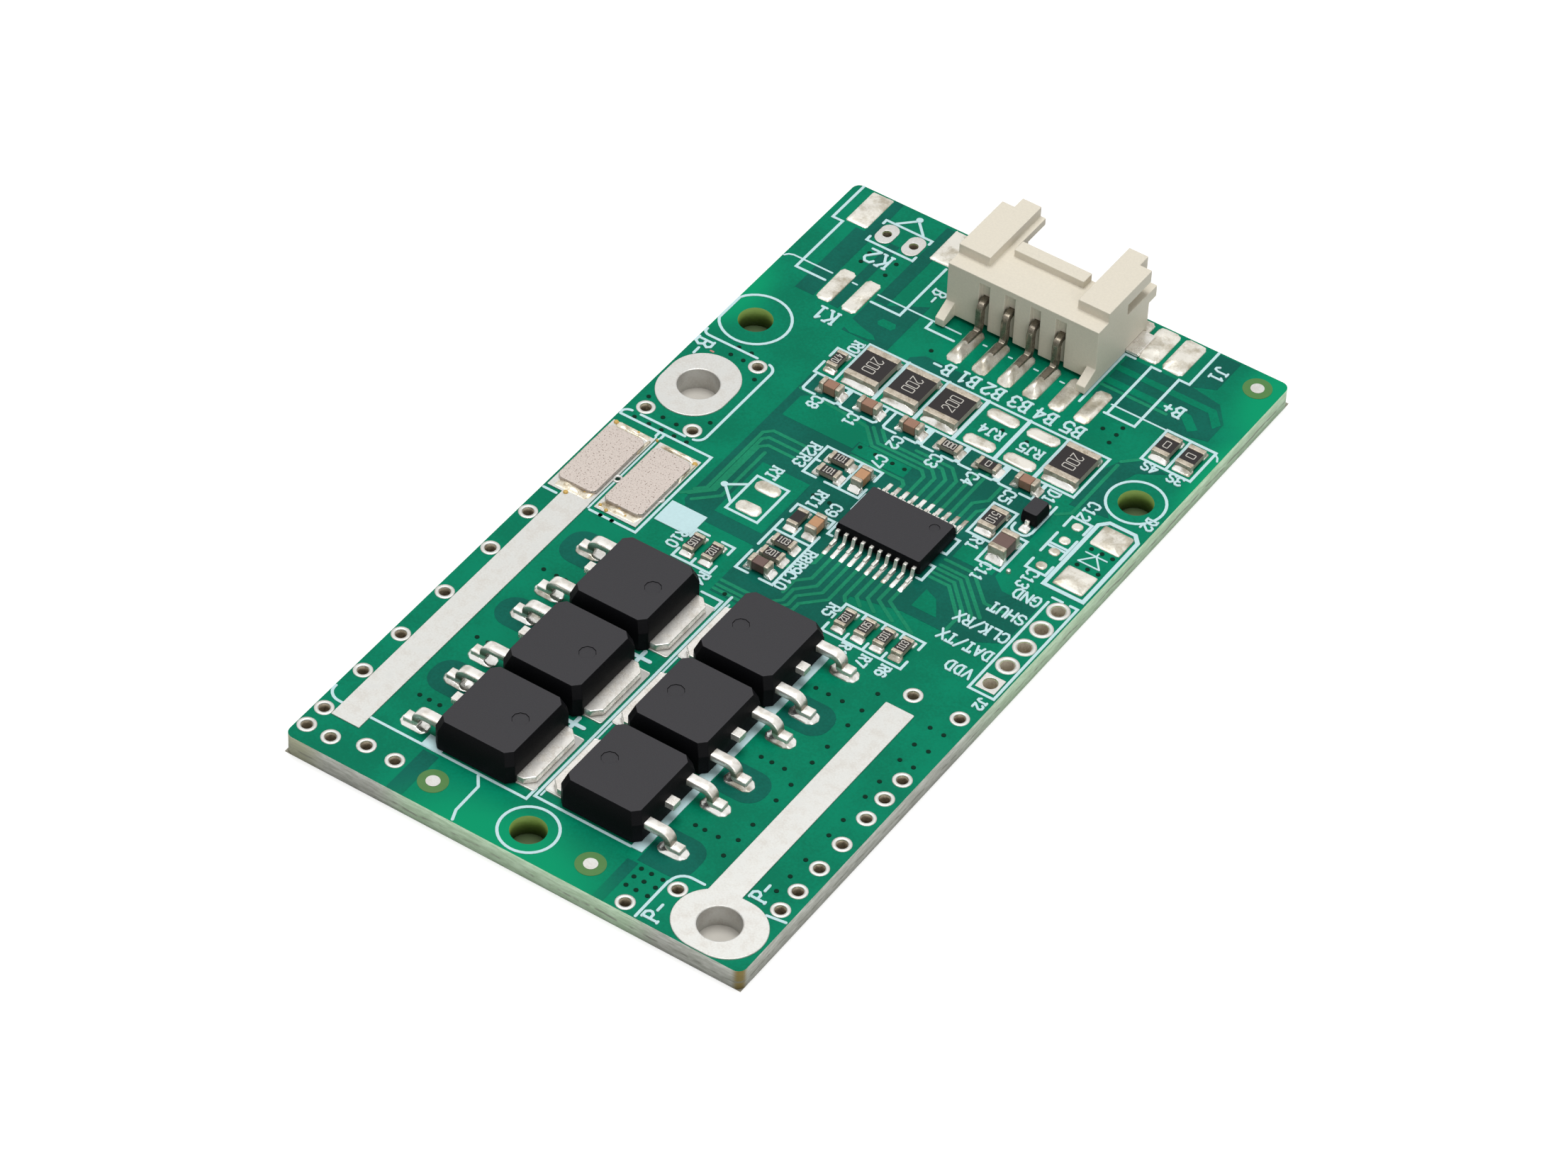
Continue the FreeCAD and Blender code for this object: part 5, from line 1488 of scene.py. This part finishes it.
studio = {
    "floorSize": 0.9, "floorWhite": 0.62, "floorColour": tone(186, 186, 184),
    # painted shade and light on the floor seen through the holes: darker under the board, olive below the
    # fixing holes, pale below the terminal bores
    "underPaintedShade": tone(150, 146, 132), "holeColour": tone(74, 92, 56), "boreColour": tone(190, 186, 178),
    "holeZone": 2.6, "boreZone": 3.4, "zoneCore": 0.8,
    "horizon": 0.12, "zenith": 0.42,
    "key": {"place": (-0.05, 0.07, 0.50), "size": 0.26, "power": 1.95},
    "fill": {"place": (0.36, -0.26, 0.20), "size": 0.4, "power": 0.8}}
camera = {"sensor": 36.0, "lens": 151.36, "near": 0.01, "far": 10.0, "place": (160.751, -256.982, 297.382),
          "right": (0.82765, 0.56028, 0.0329), "up": (-0.41312, 0.56848, 0.71145),
          "back": (0.37991, -0.60242, 0.70197)}


def seenRays(nodes):                         # rays that show the white background
    light = nodes.put("ShaderNodeLightPath").socket.node
    return sum(Wire(nodes, light.outputs["Is " + kind + " Ray"])
               for kind in ("Camera", "Glossy", "Transmission"))


def makeFloor():
    size = studio["floorSize"]
    mesh = bpy.data.meshes.new("floor")
    corners = [(-size, -size, 0), (size, -size, 0), (size, size, 0), (-size, size, 0)]
    mesh.from_pydata(corners, [], [(0, 1, 2, 3)])
    floor = linked("floor", mesh)
    pale = Finish("studio floor", 0.8)
    spot = pale.put("ShaderNodeSeparateXYZ", sockets={0: pale.place})
    across = Wire(pale, spot.socket.node.outputs[0])
    along = Wire(pale, spot.socket.node.outputs[1])
    wide, long = board["width"] / 2 * mm, board["length"] / 2 * mm
    inside = (across > -wide) * (across < wide) * (along > -long) * (along < long)
    under = studio["underPaintedShade"]            # painted shade: the floor under the board, seen through its holes, is darker than the open floor
    # painted light and shade below the holes: olive below the fixing holes, as if lit through the laminate, and
    # pale below the terminal bores
    for holes, kind in ((fixingHoles, "hole"), (terminalHoles, "bore")):
        reach = studio[kind + "Zone"]
        places = [(x, y, reach, reach, studio["zoneCore"]) for x, y, radius in holes]
        under = pale.blend(pale.anyZone(places), under, studio[kind + "Colour"])
    pale.set("Base Color", pale.blend(inside, studio["floorColour"], under))
    bare = Wire(pale, pale.shader.outputs[0])
    white = pale.put("ShaderNodeEmission", sockets={"Color": (1, 1, 1, 1), "Strength": studio["floorWhite"]})
    lifted = pale.put("ShaderNodeAddShader", sockets={0: bare, 1: white})
    shown = pale.put("ShaderNodeMixShader", sockets={0: seenRays(pale) * (1 - inside), 1: bare, 2: lifted})
    pale.join(pale.tree.nodes["Material Output"].inputs["Surface"], shown)
    mesh.materials.append(pale.material)


def makeLight():
    world = bpy.data.worlds.new("studio")
    world.use_nodes = True
    bpy.context.scene.world = world
    sky = Nodes(world.node_tree)
    back = world.node_tree.nodes["Background"]
    seen = seenRays(sky)
    aim = sky.put("ShaderNodeTexCoord", output="Generated")
    height = sky.put("ShaderNodeSeparateXYZ", sockets={0: aim}, output=2)
    glow = sky.put("ShaderNodeMapRange", {"interpolation_type": "SMOOTHSTEP"}, {
        "Value": height, "From Min": 0.0, "From Max": 0.9, "To Min": studio["horizon"],
        "To Max": studio["zenith"]})
    sky.join(back.inputs["Strength"], seen * (1 - glow) + glow)
    sky.join(back.inputs["Color"], (1.0, 1.0, 1.0, 1.0))

    for name in ("key", "fill"):
        lamp = bpy.data.lights.new(name, "AREA")
        lamp.shape = "SQUARE"
        lamp.size = studio[name]["size"]
        lamp.energy = studio[name]["power"]
        holder = linked(name, lamp)
        holder.location = studio[name]["place"]
        holder.rotation_mode = "QUATERNION"
        holder.rotation_quaternion = (-Vector(studio[name]["place"])).to_track_quat("-Z", "Y")


def makeCamera():
    lens = bpy.data.cameras.new("camera")
    lens.sensor_width = camera["sensor"]
    lens.lens = camera["lens"]
    lens.clip_start = camera["near"]
    lens.clip_end = camera["far"]
    holder = linked("camera", lens)
    turn = Matrix([camera[side] for side in ("right", "up", "back")]).transposed().to_4x4()
    holder.matrix_world = Matrix.Translation(Vector(camera["place"]) * mm) @ turn
    bpy.context.scene.camera = holder


makeFloor()
makeLight()
makeCamera()
bpy.context.scene.view_settings.view_transform = "Standard"
print("studio and camera made")

bpy.context.view_layer.update()
